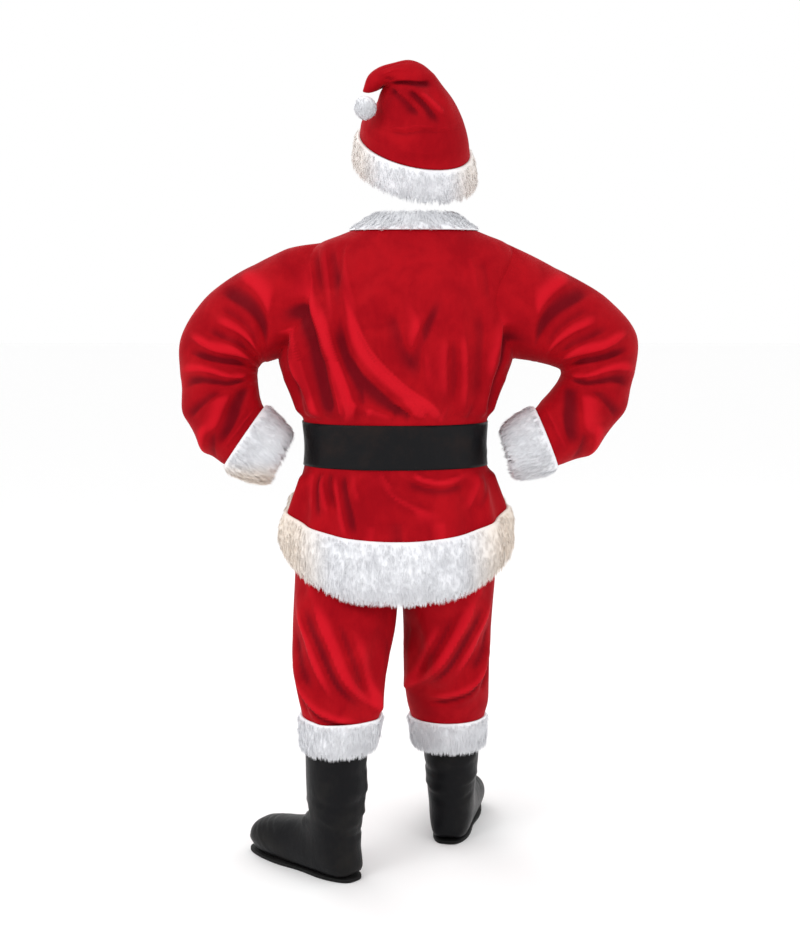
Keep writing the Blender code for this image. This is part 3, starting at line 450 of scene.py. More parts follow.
jacket = {
    "squareness": 0.88,
    "hemNominal": 0.700,
    "hemSide": 0.752,
    "hemTilt": 0.0775,
    "hemDip": 0.0345,
    "neckHeight": 1.500,
    "collarHeight": 0.035,
    "hemFurHeight": 0.105,
    "bandHalfWidth": 0.045,
    "armholeBottom": 1.175,
    "armholeTop": 1.437,
    "armholeAngle": 38.0,
    "seamAngle": 0.05,
    "underBand": 0.3,
    # the seam allowance inside the armhole: degrees on, up its edge and inwards
    "allowance": (2.2, 0.004, 0.0030),
    # height, centre x, half the width, depth behind, depth in front
    "rings": metres([
        (700, 6, 264, 176, 186), (800, 8, 246, 166, 180), (930, 10, 212, 140, 154),
        (1030, 11, 213, 138, 150), (1080, 12, 225, 148, 157), (1135, 12, 247, 156, 164),
        (1175, 10, 270, 158, 165), (1250, 0, 264, 154, 158), (1330, -12, 254, 142, 142),
        (1390, -23, 246, 124, 118), (1420, -28, 232, 110, 103), (1440, -30, 207, 98, 91),
        (1455, -31, 168, 88, 82), (1475, -32, 122, 76, 71), (1500, -34, 88, 64, 62),
    ]),
    # broad folds: angle and height at the top, angle and height at the bottom, rise, spread
    "folds": [
        (42, 1.3, 34, 1.03, 19, 9), (62, 1.36, 52, 1.04, 16, 8), (80, 1.37, 72, 1.05, 12, 8),
        (96, 1.36, 112, 1.06, 13, 9), (112, 1.33, 134, 1.04, 14, 8), (136, 1.28, 152, 1.03, 17, 8),
        (10, 1.15, 14, 1.03, 14, 9), (170, 1.15, 168, 1.03, 14, 9), (-40, 1.3, -30, 1.03, 17, 9),
        (-66, 1.34, -56, 1.04, 13, 8), (222, 1.3, 212, 1.03, 17, 9), (246, 1.34, 238, 1.04, 13, 8),
        (22, 0.92, 16, 0.73, 17, 9), (45, 0.92, 44, 0.74, 14, 8), (66, 0.92, 70, 0.7, 13, 8),
        (92, 0.92, 98, 0.72, 12, 9), (122, 0.92, 114, 0.7, 14, 9), (148, 0.92, 142, 0.73, 17, 9),
        (174, 0.92, 172, 0.76, 13, 9), (-25, 0.92, -22, 0.78, 14, 9), (-58, 0.92, -60, 0.78, 14, 9),
        (205, 0.92, 203, 0.78, 14, 9), (240, 0.92, 238, 0.78, 14, 9),
    ],
    # creases of the back, seen from behind: rise, half the width, then points as x and height
    "backCreases": [
        (-12.5, 13, 216, 1352, 184, 1223, 157, 1105, 150, 1050),
        (10.5, 14, 186, 1350, 146, 1204, 115, 1109, 100, 1037),
        (8.5, 9, 258, 1310, 222, 1192, 188, 1086, 172, 1040), (-7, 9, 276, 1290, 241, 1166, 210, 1078),
        (-5, 7, 240, 1240, 206, 1140, 186, 1066),
        (12.5, 14, 124, 1322, 72, 1200, 1, 1124, -67, 1074, -92, 1040),
        (-8.5, 16, 134, 1276, 115, 1185, 54, 1109, -12, 1056), (5.5, 9, 120, 1092, 60, 1066, 0, 1044),
        (-6, 8, 30, 1080, -10, 1060, -40, 1038), (5.5, 8, -8, 1092, -40, 1066, -64, 1038),
        (-6.2, 16, -92, 1318, -60, 1246, -41, 1185, -45, 1124),
        (5.5, 12, -68, 1300, -34, 1236, -24, 1190), (-4.5, 18, 20, 1290, -4, 1215, -30, 1150),
        (5, 14, -104, 1236, -96, 1160, -104, 1080), (5, 10, -136, 1250, -142, 1150, -134, 1052),
        (-4, 10, -120, 1240, -122, 1150, -118, 1070),
        (-9.5, 9, -273, 1310, -235, 1200, -206, 1090, -196, 1045),
        (6.5, 8, -280, 1270, -250, 1180, -222, 1100), (6, 11, -246, 1320, -212, 1220, -188, 1120),
        (-4, 14, -176, 1300, -178, 1180, -168, 1070), (5, 11, 256, 1215, 232, 1165, 214, 1120),
        (-4.2, 6, 228, 1150, 204, 1090, 190, 1040), (-4.6, 7, 170, 1200, 146, 1120, 134, 1040),
        (4, 6, 154, 1160, 136, 1090, 124, 1042), (-3.6, 8, 104, 1190, 84, 1110, 76, 1044),
        (3.4, 15, -10, 1330, -50, 1210, -74, 1090), (4.8, 10, 242, 1415, 238, 1330, 224, 1190),
        (-5, 10, 226, 1425, 216, 1340, 196, 1240), (5.2, 11, 208, 1430, 196, 1340, 168, 1200),
        (-4.8, 10, 190, 1432, 178, 1350, 152, 1230), (4.4, 10, 170, 1436, 158, 1350, 132, 1220),
        (-4.2, 11, 152, 1440, 138, 1350, 110, 1240), (3.6, 11, 130, 1440, 116, 1360, 88, 1260),
        (-5, 7, 124, 1440, 130, 1390, 130, 1330), (3, 9, -150, 1412, -166, 1370, -172, 1320),
        (-3, 9, -186, 1400, -196, 1350, -200, 1300), (3.2, 7, 124, 1034, 116, 1060, 110, 1094),
        (-3, 6, 100, 1034, 94, 1062, 90, 1088), (2.8, 6, 76, 1034, 72, 1056, 62, 1080),
        (3.4, 7, -18, 1034, -30, 1060, -44, 1090), (-3, 6, -40, 1034, -56, 1056, -72, 1076),
        (-2.8, 6, 16, 1034, 12, 1056, 2, 1072), (2.8, 7, -86, 1034, -94, 1058, -104, 1086),
        (-2.8, 7, -150, 1034, -152, 1058, -160, 1084), (5.6, 8, 192, 926, 194, 880, 190, 820),
        (-6.2, 7, 180, 926, 180, 870, 176, 810), (5.6, 7, 168, 926, 166, 875, 156, 815),
        (-6.2, 7, 156, 927, 152, 885, 142, 830), (6.2, 9, 142, 926, 136, 870, 124, 810, 110, 772),
        (-6.8, 10, 126, 926, 118, 880, 104, 820, 96, 780), (4, 9, 104, 926, 98, 890, 86, 850),
        (6.5, 19, 76, 924, 26, 875, -30, 842, -104, 822), (-6.2, 14, 62, 910, 14, 858, -50, 824),
        (4, 7, 44, 928, 32, 908, 12, 886), (7.2, 9, -26, 926, -52, 910, -100, 904, -170, 926),
        (-5.8, 10, -12, 912, -50, 892, -104, 886, -160, 902), (5, 11, -172, 920, -164, 872, -146, 830),
        (-4, 9, -192, 916, -188, 870, -176, 830), (4, 16, 60, 812, 62, 784, 66, 752),
        (-4, 18, 6, 822, 2, 790, 4, 756), (4, 16, -92, 818, -94, 790, -90, 752),
    ],
    # the same for the front, which hangs the same way on both sides of the band
    "frontCreases": [
        (5.6, 14, 150, 1400, 146, 1260, 124, 1120), (-5, 12, 116, 1390, 112, 1280, 96, 1180),
        (6, 13, 196, 1330, 190, 1210, 160, 1080), (-5.4, 12, 226, 1270, 212, 1170, 184, 1070),
        (4.6, 13, 90, 1300, 94, 1180, 78, 1060), (5.6, 14, -170, 1396, -176, 1270, -150, 1130),
        (-5, 12, -136, 1390, -150, 1280, -120, 1150), (6, 13, -214, 1310, -206, 1190, -176, 1070),
        (-4.8, 12, -230, 1240, -214, 1160, -196, 1060), (4.6, 13, -104, 1320, -104, 1190, -92, 1060),
        (3.2, 7, 176, 1034, 170, 1060, 160, 1090), (-3, 6, 140, 1034, 134, 1058, 128, 1084),
        (3, 7, 104, 1034, 102, 1060, 96, 1086), (3.2, 7, -110, 1034, -110, 1060, -118, 1088),
        (-3, 7, -146, 1034, -148, 1058, -158, 1086), (3, 7, -180, 1034, -184, 1060, -196, 1080),
        (4.6, 9, 182, 924, 184, 880, 178, 836), (-4.4, 8, 162, 924, 160, 890, 154, 846),
        (4.4, 9, 140, 924, 136, 890, 130, 850), (-3.6, 9, 110, 924, 106, 884, 104, 850),
        (3.4, 9, 84, 924, 86, 890, 88, 856), (4.6, 9, -176, 924, -182, 880, -176, 836),
        (-4.4, 8, -154, 924, -158, 890, -154, 846), (4.4, 9, -130, 924, -130, 890, -124, 850),
        (-3.6, 9, -102, 924, -100, 884, -98, 850), (3.2, 9, -78, 924, -76, 890, -78, 856),
    ],
    "seamDip": 0.0008,
    "seamWidth": 0.8,
}


def hemShift(angle):
    back = np.sin(np.radians(angle))
    side = jacket["hemSide"] - jacket["hemNominal"]
    return side - jacket["hemTilt"] * back - jacket["hemDip"] * back * back


def bodyPlain(angle, height):
    angle, height = matched(angle, height)
    centreX, halfWidth, back, front = sampleRows(jacket["rings"], height)
    turn = np.radians(angle)
    cos = signedPower(np.cos(turn), jacket["squareness"])
    sin = signedPower(np.sin(turn), jacket["squareness"])
    below = (common["beltBottom"] - height) / (common["beltBottom"] - jacket["hemNominal"])
    rise = np.where(height < common["beltBottom"], hemShift(angle) * below, 0.0)
    return stack(centreX + halfWidth * cos, np.where(sin > 0, back, front) * sin, height + rise)


def plainNormal(angle, height):
    return normalOf(bodyPlain, angle, height, 0.5, 0.002)


def offBelt(height):
    above = eased(height, common["beltTop"] + 0.002, common["beltTop"] + 0.035)
    return above + 1 - eased(height, common["beltBottom"] - 0.035, common["beltBottom"] - 0.002)


def bodyFold(angle, height):
    return foldLift(angle, height, jacket["folds"], (-0.25, 0.2), (0.9, 1.15)) * offBelt(height)


def armholeEdge(height):
    share = (height - jacket["armholeBottom"]) / (jacket["armholeTop"] - jacket["armholeBottom"])
    inside = np.clip(share, 0.0, 1.0)
    return jacket["armholeAngle"] * np.sin(math.pi * inside) ** 0.75


def bodyFine(angle, height, plain):
    # what is finer than the broad folds: creases, and the dip of each seam
    x, z = 1000 * plain[..., 0], 1000 * plain[..., 2]
    sin = np.sin(np.radians(angle))
    behind = eased(sin, 0.16, 0.52)
    before = eased(-sin, 0.16, 0.52)
    fine = creaseLift(x, z, jacket["backCreases"]) * behind
    fine += creaseLift(x, z, jacket["frontCreases"]) * before
    near = 1 - eased(height, common["beltTop"], common["beltTop"] + 0.006)
    near *= eased(height, common["beltBottom"] - 0.006, common["beltBottom"])
    fine *= 1 - near
    side = np.minimum(np.abs(turnBetween(angle, 0.0)), np.abs(turnBetween(angle, 180.0)))
    openAt = armholeEdge(height)
    atSeam = np.exp(-(((side - openAt) / jacket["seamWidth"]) ** 2))
    return fine - jacket["seamDip"] * atSeam * (1 - near)


def bodySurface(angle, height):
    plain = bodyPlain(angle, height)
    fine = bodyFine(angle, height, plain)
    away = plainNormal(angle, height)
    return plain + (bodyFold(angle, height) + fine)[..., None] * away, fine


def bodyPoint(angle, height):
    # the surface that the fur lies on, without the fine creases
    plain = bodyPlain(angle, height)
    return plain + bodyFold(angle, height)[..., None] * plainNormal(angle, height)


def bodyNormal(angle, height):
    return normalOf(bodyPoint, angle, height, 1.0, 0.004)


def frontEdge(height):
    halfWidth = sampleRows(jacket["rings"], height)[1]
    share = jacket["bandHalfWidth"] / halfWidth
    return np.degrees(np.arcsin(share ** (1 / jacket["squareness"])))


bodyLow = jacket["hemNominal"] + jacket["hemFurHeight"] - common["underFur"]
bodyHigh = jacket["neckHeight"] - jacket["collarHeight"] + common["underFur"]


def bodyPanel(name, start, end, columns, rows):
    def surface(across, up):
        height = bodyLow + (bodyHigh - bodyLow) * up
        side = np.maximum(armholeEdge(height), jacket["seamAngle"])
        front = frontEdge(height) - jacket["underBand"]
        low = start + np.where(start == common["frontMiddle"], front, side)
        high = end - np.where(end == common["frontMiddle"] + 360, front, side)
        return bodySurface(low + (high - low) * across, height)

    return clothPiece(name, columns, rows, surface, velvet)


# the panels, with the flat width and length of each cut piece and its cloth
for node, start, end, columns, flat, area in (
    ("jacket_back", 0.0, 180.0, 132, (0.86, 0.68), 0.46),
    ("jacket_front_left", -90.0, 0.0, 56, (0.38, 0.68), 0.18),
    ("jacket_front_right", 180.0, 270.0, 56, (0.38, 0.68), 0.18),
):
    piece = bodyPanel(node + "_velvet", start, end, columns, 120)
    fitPiece(piece, node, "velvet", flat=flat, held="gathered", area=area)
print("jacket panels made")


# The sleeves

sleeves = {
    "joint": 0.085,
    "allowanceEnd": 0.024,
    "slopeStep": 0.05,
    "foldsEnd": (6.0, 6.8),
    "puff": 0.004,
    "cuffStart": 6.8,
    "cuffEnd": 9.0,
    "cuffLength": 0.10,
    "underCuff": 0.10,
    # place along the sleeve, inner line x and height, outer line x and height, y, half the depth
    "left": placed([
        (303, 1170, 263, 1419, 0, 98), (315, 1165, 366, 1371, 5, 92), (322, 1158, 447, 1311, 12, 87),
        (328, 1146, 502, 1222, 20, 84), (327, 1124, 502, 1128, 26, 84), (324, 1100, 487, 1038, 30, 82),
        (320, 1078, 450, 968, 30, 78), (310, 1058, 394, 924, 30, 67), (280, 1024, 346, 906, 30, 58),
        (257, 1001, 309, 897, 30, 55),
    ]),
    "right": placed([
        (-302, 1172, -292, 1410, -2, 98), (-324, 1164, -388, 1364, 3, 92),
        (-350, 1157, -474, 1312, 10, 87), (-371, 1146, -542, 1230, 16, 84),
        (-364, 1124, -535, 1130, 22, 84), (-346, 1100, -500, 1040, 26, 82),
        (-327, 1079, -437, 961, 28, 76), (-306, 1054, -349, 923, 28, 66), (-272, 1032, -310, 915, 28, 58),
        (-242, 1010, -272, 907, 28, 54),
    ]),
    # broad folds: place, angle from the inner line by the back, rise, length, spread
    "folds": [
        (0.9, 70, 9, 0.35, 60), (2.1, 50, 11, 0.35, 55), (3, 20, 12, 0.3, 70), (3.9, 60, 10, 0.3, 60),
        (4.8, 150, 9, 0.35, 60), (5.9, 110, 8, 0.35, 70), (1.5, 280, 8, 0.4, 60),
        (3.2, 300, 10, 0.35, 60), (4.6, 260, 9, 0.35, 60),
    ],
    # creases over the unrolled sleeve: rise, half the width, then points as 100 * place and angle
    "creases": [
        (8.5, 15, 5, 80, 55, 115, 110, 155), (-8, 15, 5, 45, 60, 85, 120, 120, 160, 155),
        (7.5, 10, 90, 45, 155, 82, 215, 115), (-4.5, 9, 75, 50, 130, 90, 185, 125),
        (-6, 11, 160, 50, 215, 80, 250, 120), (10.5, 13, 190, 48, 250, 72, 280, 100, 275, 145),
        (-10, 12, 260, 40, 300, 66, 318, 95, 320, 135), (8.5, 12, 330, 38, 372, 60, 360, 105, 390, 160),
        (-8.5, 12, 370, 42, 408, 66, 398, 110, 422, 155), (-8.5, 16, 420, 36, 500, 52, 595, 82, 635, 124),
        (7, 17, 440, 70, 520, 92, 590, 122), (-7, 12, 435, 80, 470, 112, 505, 150),
        (5.5, 14, 530, 120, 580, 145, 630, 180), (-5, 10, 560, 105, 610, 130, 655, 170),
        (4.5, 8, 620, 30, 640, 80, 650, 130), (4.6, 13, 60, 220, 100, 270, 120, 330),
        (-5.2, 12, 140, 240, 170, 290, 190, 340), (5.6, 12, 230, 250, 250, 300, 270, 350),
        (-6.6, 11, 290, 240, 300, 300, 305, 350), (5.6, 12, 360, 230, 370, 290, 365, 340),
        (-4.8, 12, 420, 220, 440, 280, 430, 330), (4.4, 12, 500, 210, 520, 270, 510, 320),
        (-4.2, 10, 580, 220, 595, 280, 590, 330),
    ],
}


def sleeveCentre(side, at):
    innerX, innerZ, outerX, outerZ, y, _ = sampleRows(sleeves[side], at)
    return stack((innerX + outerX) / 2, y, (innerZ + outerZ) / 2)


def calmInside(at, turn):
    # inside the bent elbow the rings crowd together, so folds die away there
    near = np.exp(-((turnBetween(turn, 0.0) / 34.0) ** 2))
    return 1 - 0.95 * near * eased(at, 0.2, 1.2) * (1 - eased(at, 5.2, 6.4))


def sleeveShape(side, at, turn, extra):
    innerX, innerZ, outerX, outerZ, y, halfDepth = sampleRows(sleeves[side], at)
    out = np.radians(turn)
    centre = stack((innerX + outerX) / 2, y, (innerZ + outerZ) / 2)
    armX, armZ = (innerX - outerX) / 2, (innerZ - outerZ) / 2
    spoke = stack(np.cos(out) * armX, np.sin(out) * halfDepth, np.cos(out) * armZ)
    calm = calmInside(at, turn) * (1 - eased(at, *sleeves["foldsEnd"]))
    lift = extra + swellLift(at, turn, sleeves["folds"]) * calm
    reach = np.linalg.norm(spoke, axis=-1)
    return centre + spoke * (1 + lift / reach)[..., None]


def armholePoint(side, turn, under):
    # the armhole's edge at the sleeve's turns; where under is 1, a seam allowance inside it
    share = np.where(turn <= 180.0, turn, 360.0 - turn) / 180.0
    span = jacket["armholeTop"] - jacket["armholeBottom"]
    height = jacket["armholeBottom"] + span * (1 - np.cos(math.pi * share)) / 2
    onward, upward, inward = jacket["allowance"]
    angle = (armholeEdge(height) + onward * under) * np.where(turn <= 180.0, 1, -1)
    angle = angle if side == "left" else 180.0 - angle
    height = height + upward * under * np.cos(math.pi * (1 - share))
    points, fine = bodySurface(angle, height)
    return points - bodyNormal(angle, height) * (inward * under)[..., None], fine


def sleevePiece(side):
    def surface(across, up):
        turn = 360.0 * across
        joint = sleeves["joint"]
        at = np.clip((up - joint) / (1 - joint), 0.0, 1.0) * (sleeves["cuffStart"] + sleeves["underCuff"])
        fine = creasesAround(at, turn, 100, 330, sleeves["creases"])
        fine *= calmInside(at, turn) * (1 - 0.6 * eased(at, 6.2, 6.9))
        points = sleeveShape(side, at, turn, fine)
        head = eased(up, 0.0, joint)[..., None]
        sewn, sewnFine = armholePoint(side, turn, 1 - eased(up, 0.0, sleeves["allowanceEnd"]))
        # the head runs into the arm's own slope, so no corner is left where they meet
        along = np.clip(up / joint, 0.0, 1.0)
        onward = sleeveShape(side, at + sleeves["slopeStep"], turn, fine)
        slope = (onward - points) * (sleeves["cuffStart"] * joint / sleeves["slopeStep"])
        curved = sewn + (points - sewn) * head + slope * ((along - 1) * along**2)[..., None]
        points = np.where(up[..., None] < joint, curved, points)
        fine = sewnFine * (1 - head[..., 0]) + fine * head[..., 0]
        puff = sleeves["puff"] * np.sin(math.pi * np.clip(up / (2 * joint), 0, 1)) * (up < 2 * joint)
        away = unit(points - sleeveCentre(side, at))
        return points + away * puff[..., None], fine

    name = "sleeve_" + side + "_velvet"
    return clothPiece(name, 96, 92, surface, velvet, tube=True, flip=side == "right")


for side in ways:
    fitPiece(sleevePiece(side), "sleeve_" + side, "velvet", flat=(0.58, 0.62), held="gathered", area=0.29)
print("sleeves made")


# The trousers

trousers = {
    "crotch": 0.658,
    "hipsFull": 0.80,
    "legsApart": 0.0004,
    "waistEdge": 1.000,
    "tucked": (0.85, 0.925),
    "edgeInset": 0.0006,
    "rowsCrowded": 0.20,
    "panelWidth": 0.36,
    "furHeight": 0.068,
    # height, outer x, inner x, y, half the depth
    "left": metres([
        (308, 219, 60, 167, 86), (350, 220, 52, 158, 92), (379, 224, 44, 150, 98),
        (408, 232, 38, 137, 104), (440, 240, 34, 122, 107), (470, 246, 30, 108, 110),
        (560, 249, 9, 62, 118), (660, 246, 1, 16, 130),
    ]),
    "right": metres([
        (244, 200, 36, -68, 84), (292, 201, 31, -68, 88), (316, 206, 24, -66, 92),
        (348, 213, 16, -60, 99), (400, 214, 10, -50, 104), (470, 214, 8, -36, 110),
        (560, 217, 6, -12, 118), (660, 222, 1, 14, 130),
    ]),
    # height, outer x, reach, half the depth
    "hips": metres([
        (660, 234, 117, 130), (700, 230, 150, 136), (760, 224, 196, 138), (840, 214, 214, 136),
        (930, 205, 205, 132), (1010, 205, 205, 130),
    ]),
    # broad folds: angle and height at the top, angle and height at the bottom, rise, spread
    "folds": [
        (40, 0.62, 110, 0.42, 14, 16), (120, 0.6, 90, 0.4, 16, 15), (30, 0.5, 70, 0.37, 14, 15),
        (-40, 0.62, -100, 0.42, 14, 16), (-120, 0.58, -80, 0.4, 14, 15), (-20, 0.47, -60, 0.37, 13, 15),
        (150, 0.52, 150, 0.38, 13, 15), (-150, 0.52, -150, 0.38, 13, 15),
    ],
    # creases: rise, half the width, then points as twice the angle from the outer seam and height
    "creases": [
        (8.5, 12, 52, 622, 96, 552, 118, 505, 174, 416),
        (9.5, 13, 102, 646, 154, 548, 208, 454, 292, 398),
        (-7.5, 12, 75, 630, 128, 540, 170, 470, 235, 405), (-6, 11, 40, 560, 80, 490, 120, 440),
        (9, 9, 60, 468, 112, 412, 174, 386, 240, 378), (-7, 8, 70, 430, 118, 394, 180, 372, 240, 366),
        (7, 12, 184, 594, 236, 491, 270, 435, 310, 396), (-5.5, 12, 160, 600, 208, 500, 250, 430),
        (-5, 11, 300, 560, 300, 470, 305, 390), (5.5, 9, 255, 430, 290, 400, 320, 392),
        (-5.5, 9, 20, 480, 50, 420, 90, 384), (3.6, 13, 80, 740, 100, 680, 90, 620),
        (5.2, 12, -100, 630, -160, 540, -230, 450, -250, 380),
        (-4.8, 11, -60, 600, -110, 510, -160, 420, -180, 375), (5, 12, -220, 590, -200, 490, -150, 395),
        (-4.6, 12, -260, 610, -240, 510, -210, 420), (4.4, 10, -30, 510, -70, 440, -110, 372),
        (4.2, 11, -300, 560, -290, 470, -280, 380), (-4, 10, -330, 530, -320, 440, -320, 370),
        (-3.4, 12, -160, 700, -180, 640, -150, 560),
    ],
    "seamDip": 0.0020,
    "seamWidth": 0.010,
}


def legRing(side, height):
    legOuter, legInner, legY, legDepth = sampleRows(trousers[side], np.minimum(height, trousers[side][-1][0]))
    hipOuter, hipReach, hipDepth = sampleRows(trousers["hips"], height)
    foot = trousers[side][-1]
    legReach = (legOuter - legInner) / 2
    blend = eased(height, trousers["crotch"], trousers["hipsFull"])
    outer = foot[1] * (1 - blend) + hipOuter * blend
    start = (foot[1] - foot[2]) / 2
    reach = hipReach - (trousers["hips"][0, 2] - start) * (1 - blend)
    reach = np.minimum(np.maximum(reach, outer / 2 + trousers["legsApart"]), outer)
    end = np.degrees(np.arccos(np.clip(-(outer - reach) / reach, -1, 1)))
    low = height <= trousers["crotch"]
    middle = np.where(low, legOuter - legReach, outer - reach)
    middleY = np.where(low, legY, foot[3] * (1 - blend))
    return (
        middle,
        middleY,
        np.where(low, legReach, reach),
        np.where(low, legDepth, hipDepth),
        np.where(low, 180.0, end),
    )


def legFold(angle, height):
    return foldLift(angle, height, trousers["folds"], (-0.3, 0.3), (0.8, 1.2))


def legPoint(side, share, height, fine=0.0):
    share, height = matched(share, height)
    middle, middleY, reach, depth, end = legRing(side, height)
    angle = share * end
    turn = np.radians(angle)
    lift = legFold(angle, height) * (1 - eased(np.abs(share), 0.85, 1.0)) + fine
    x = middle + (reach + lift) * np.cos(turn)
    y = middleY + (depth + lift) * np.sin(turn)
    way = ways[side]
    loose = stack(way * np.maximum(x, 0.0), y, height)
    held = eased(height, *trousers["tucked"])[..., None]
    around = share * 90.0 if side == "left" else 180.0 - share * 90.0
    waist = np.maximum(height, common["beltBottom"])
    worn = bodyPlain(around, waist)
    worn = worn - plainNormal(around, waist) * (common["wall"] + 2 * common["seamGap"])
    worn[..., 2] = height
    return loose * (1 - held) + worn * held


def legPanel(side, back):
    way = ways[side]
    facing = 1 if back else -1
    low = trousers[side][0][0] + trousers["furHeight"] - common["underFur"]

    def surface(across, up):
        height = low + (trousers["waistEdge"] - low) * (up - trousers["rowsCrowded"] * up * (1 - up))
        share = facing * (trousers["edgeInset"] + (1 - 2 * trousers["edgeInset"]) * across)
        angle = share * 180.0
        fine = creaseLift(2 * angle, 1000 * height, trousers["creases"])
        fine *= (1 - eased(np.abs(share), 0.76, 0.96)) * (1 - eased(height, 0.72, 0.80))
        edge = np.minimum(np.abs(share), 1 - np.abs(share)) * trousers["panelWidth"]
        fine = fine - trousers["seamDip"] * np.exp(-((edge / trousers["seamWidth"]) ** 2))
        points = legPoint(side, share, height, fine)
        return points + np.array([way * common["seamGap"] / 2, 0, 0]), fine

    name = ("trousers_back_" if back else "trousers_front_") + side
    flip = (way * facing) < 0
    piece = clothPiece(name + "_velvet", 46, 84, surface, velvet, flip=flip)
    fitPiece(piece, name, "velvet", flat=(0.40, 0.68), held="gathered", area=0.235)


for side in ways:
    for back in (True, False):
        legPanel(side, back)
print("trousers made")


# The boot covers

boots = {
    "toeStart": 0.955,
    "toeBulge": 0.010,
    "seamRise": 0.0012,
    "seamWidth": 2.2,
    "toeCap": 8.3,
    "toeCapWidth": 0.05,
    "squareness": 0.85,
    "squarerBelow": 0.57,
    "soleTop": 0.008,
    "soleHalfWidth": 0.052,
    "soleHeel": -0.058,
    "soleToe": 0.274,
    "soleSquareness": 0.62,
    "soleBevel": 0.0011,
    # the sole's waist: depth, place along it, spread; and how much wider it gets to the toe
    "soleWaist": (0.16, 0.42, 0.16, 0.06),
    # a foot, a groove and a welt, one above the other: rise, scale
    "soleLayers": [(0.0040, 1.0), (0.0004, 0.990), (0.0010, 1.0), (0.0004, 1.010), (0.0020, 1.0)],
    "leftPlace": (0.1420, 0.174, 0.745, -0.667),
    "rightPlace": (-0.1240, -0.0700, -0.190, -0.982),
    # place along the boot, rear along and height, fore along and height, half the width
    "rings": placed([
        (-66, 352, 72, 352, 67), (-66, 280, 72, 280, 68), (-63, 200, 71, 206, 66),
        (-54, 132, 69, 158, 60), (-52, 70, 82, 132, 56), (-54, 20, 110, 116, 54),
        (-12, 8.5, 148, 106, 53), (64, 8.5, 184, 99, 54), (145, 8.5, 220, 90, 56),
        (215, 8.5, 252, 74, 50), (258, 14, 270, 46, 28),
    ]),
    # creases over the unrolled boot: rise, half the width, then points as 40 * place and angle
    "creases": [
        (-3, 5.2, 48, -60, 58, 8, 52, 72), (3.4, 5.6, 68, -96, 78, -32, 72, 32),
        (-4, 5.2, 88, -24, 96, 36, 88, 104), (3.6, 4.8, 104, -104, 110, -40, 104, 16),
        (3.8, 4.8, 118, -24, 122, 32, 116, 88), (-5, 6.4, 128, 112, 130, 176, 128, 240),
        (-3.6, 4.4, 136, -72, 140, -16, 136, 40), (4, 6, 148, 120, 152, 180, 148, 240),
        (-4.2, 5.6, 172, 120, 174, 180, 172, 240), (3.6, 6.4, 100, 128, 104, 184, 100, 232),
        (-2.6, 4.8, 292, 112, 294, 180, 292, 248), (-2.2, 4.4, 310, 112, 312, 180, 310, 248),
        (3, 5.6, 20, 80, 32, 128, 28, 184),
    ],
}


def bootFrame(side):
    x, y, toeX, toeY = boots[side + "Place"]
    toe = np.array([toeX, toeY, 0.0])
    toe = toe / np.linalg.norm(toe)
    return np.array([x, y, 0.0]), toe, np.array([-toe[1], toe[0], 0.0])


def bootPiece(side):
    heel, toe, across = bootFrame(side)

    def surface(aroundShare, up):
        at = 10.0 * np.minimum(up / boots["toeStart"], 1.0)
        turn = 360.0 * aroundShare
        rearAlong, rearZ, foreAlong, foreZ, halfWidth = sampleRows(boots["rings"], at)
        angle = np.radians(turn)
        rear = heel + toe * rearAlong[..., None] + stack(0, 0, rearZ)
        fore = heel + toe * foreAlong[..., None] + stack(0, 0, foreZ)
        # under the foot the section is squarer, to meet the sole
        below = eased(at, 4.0, 6.0) * np.maximum(np.cos(angle), 0.0)
        squareness = boots["squareness"] - boots["squarerBelow"] * below
        sideways = across * (halfWidth * signedPower(np.sin(angle), squareness))[..., None]
        centre = (rear + fore) / 2
        spoke = (rear - fore) / 2 * np.cos(angle)[..., None] + sideways
        fine = creasesAround(at, turn, 40, 270, boots["creases"])
        # the seam up the back of the shaft and down the front, sewn proud
        for seamTurn, start, end in ((0.0, 4.2, 5.0), (180.0, 5.4, 6.0)):
            atSeam = np.exp(-((turnBetween(turn, seamTurn) / boots["seamWidth"]) ** 2))
            fine = fine + boots["seamRise"] * atSeam * (1 - eased(at, start, end))
        # a toe cap line across the fore of the foot
        fine = fine + boots["seamRise"] * np.exp(-(((at - boots["toeCap"]) / boots["toeCapWidth"]) ** 2))
        away = unit(spoke)
        points = centre + spoke + away * fine[..., None]
        shrink = np.clip((up - boots["toeStart"]) / (1 - boots["toeStart"]), 0, 1)
        dome = centre + spoke * np.sqrt(1 - shrink**2)[..., None]
        dome = dome + toe * (boots["toeBulge"] * shrink)[..., None]
        points = np.where((up > boots["toeStart"])[..., None], dome, points)
        points[..., 2] = np.maximum(points[..., 2], boots["soleTop"] + common["seamGap"])
        return points, fine

    return clothPiece("boot_" + side + "_cover", 60, 96, surface, leatherette, tube=True)


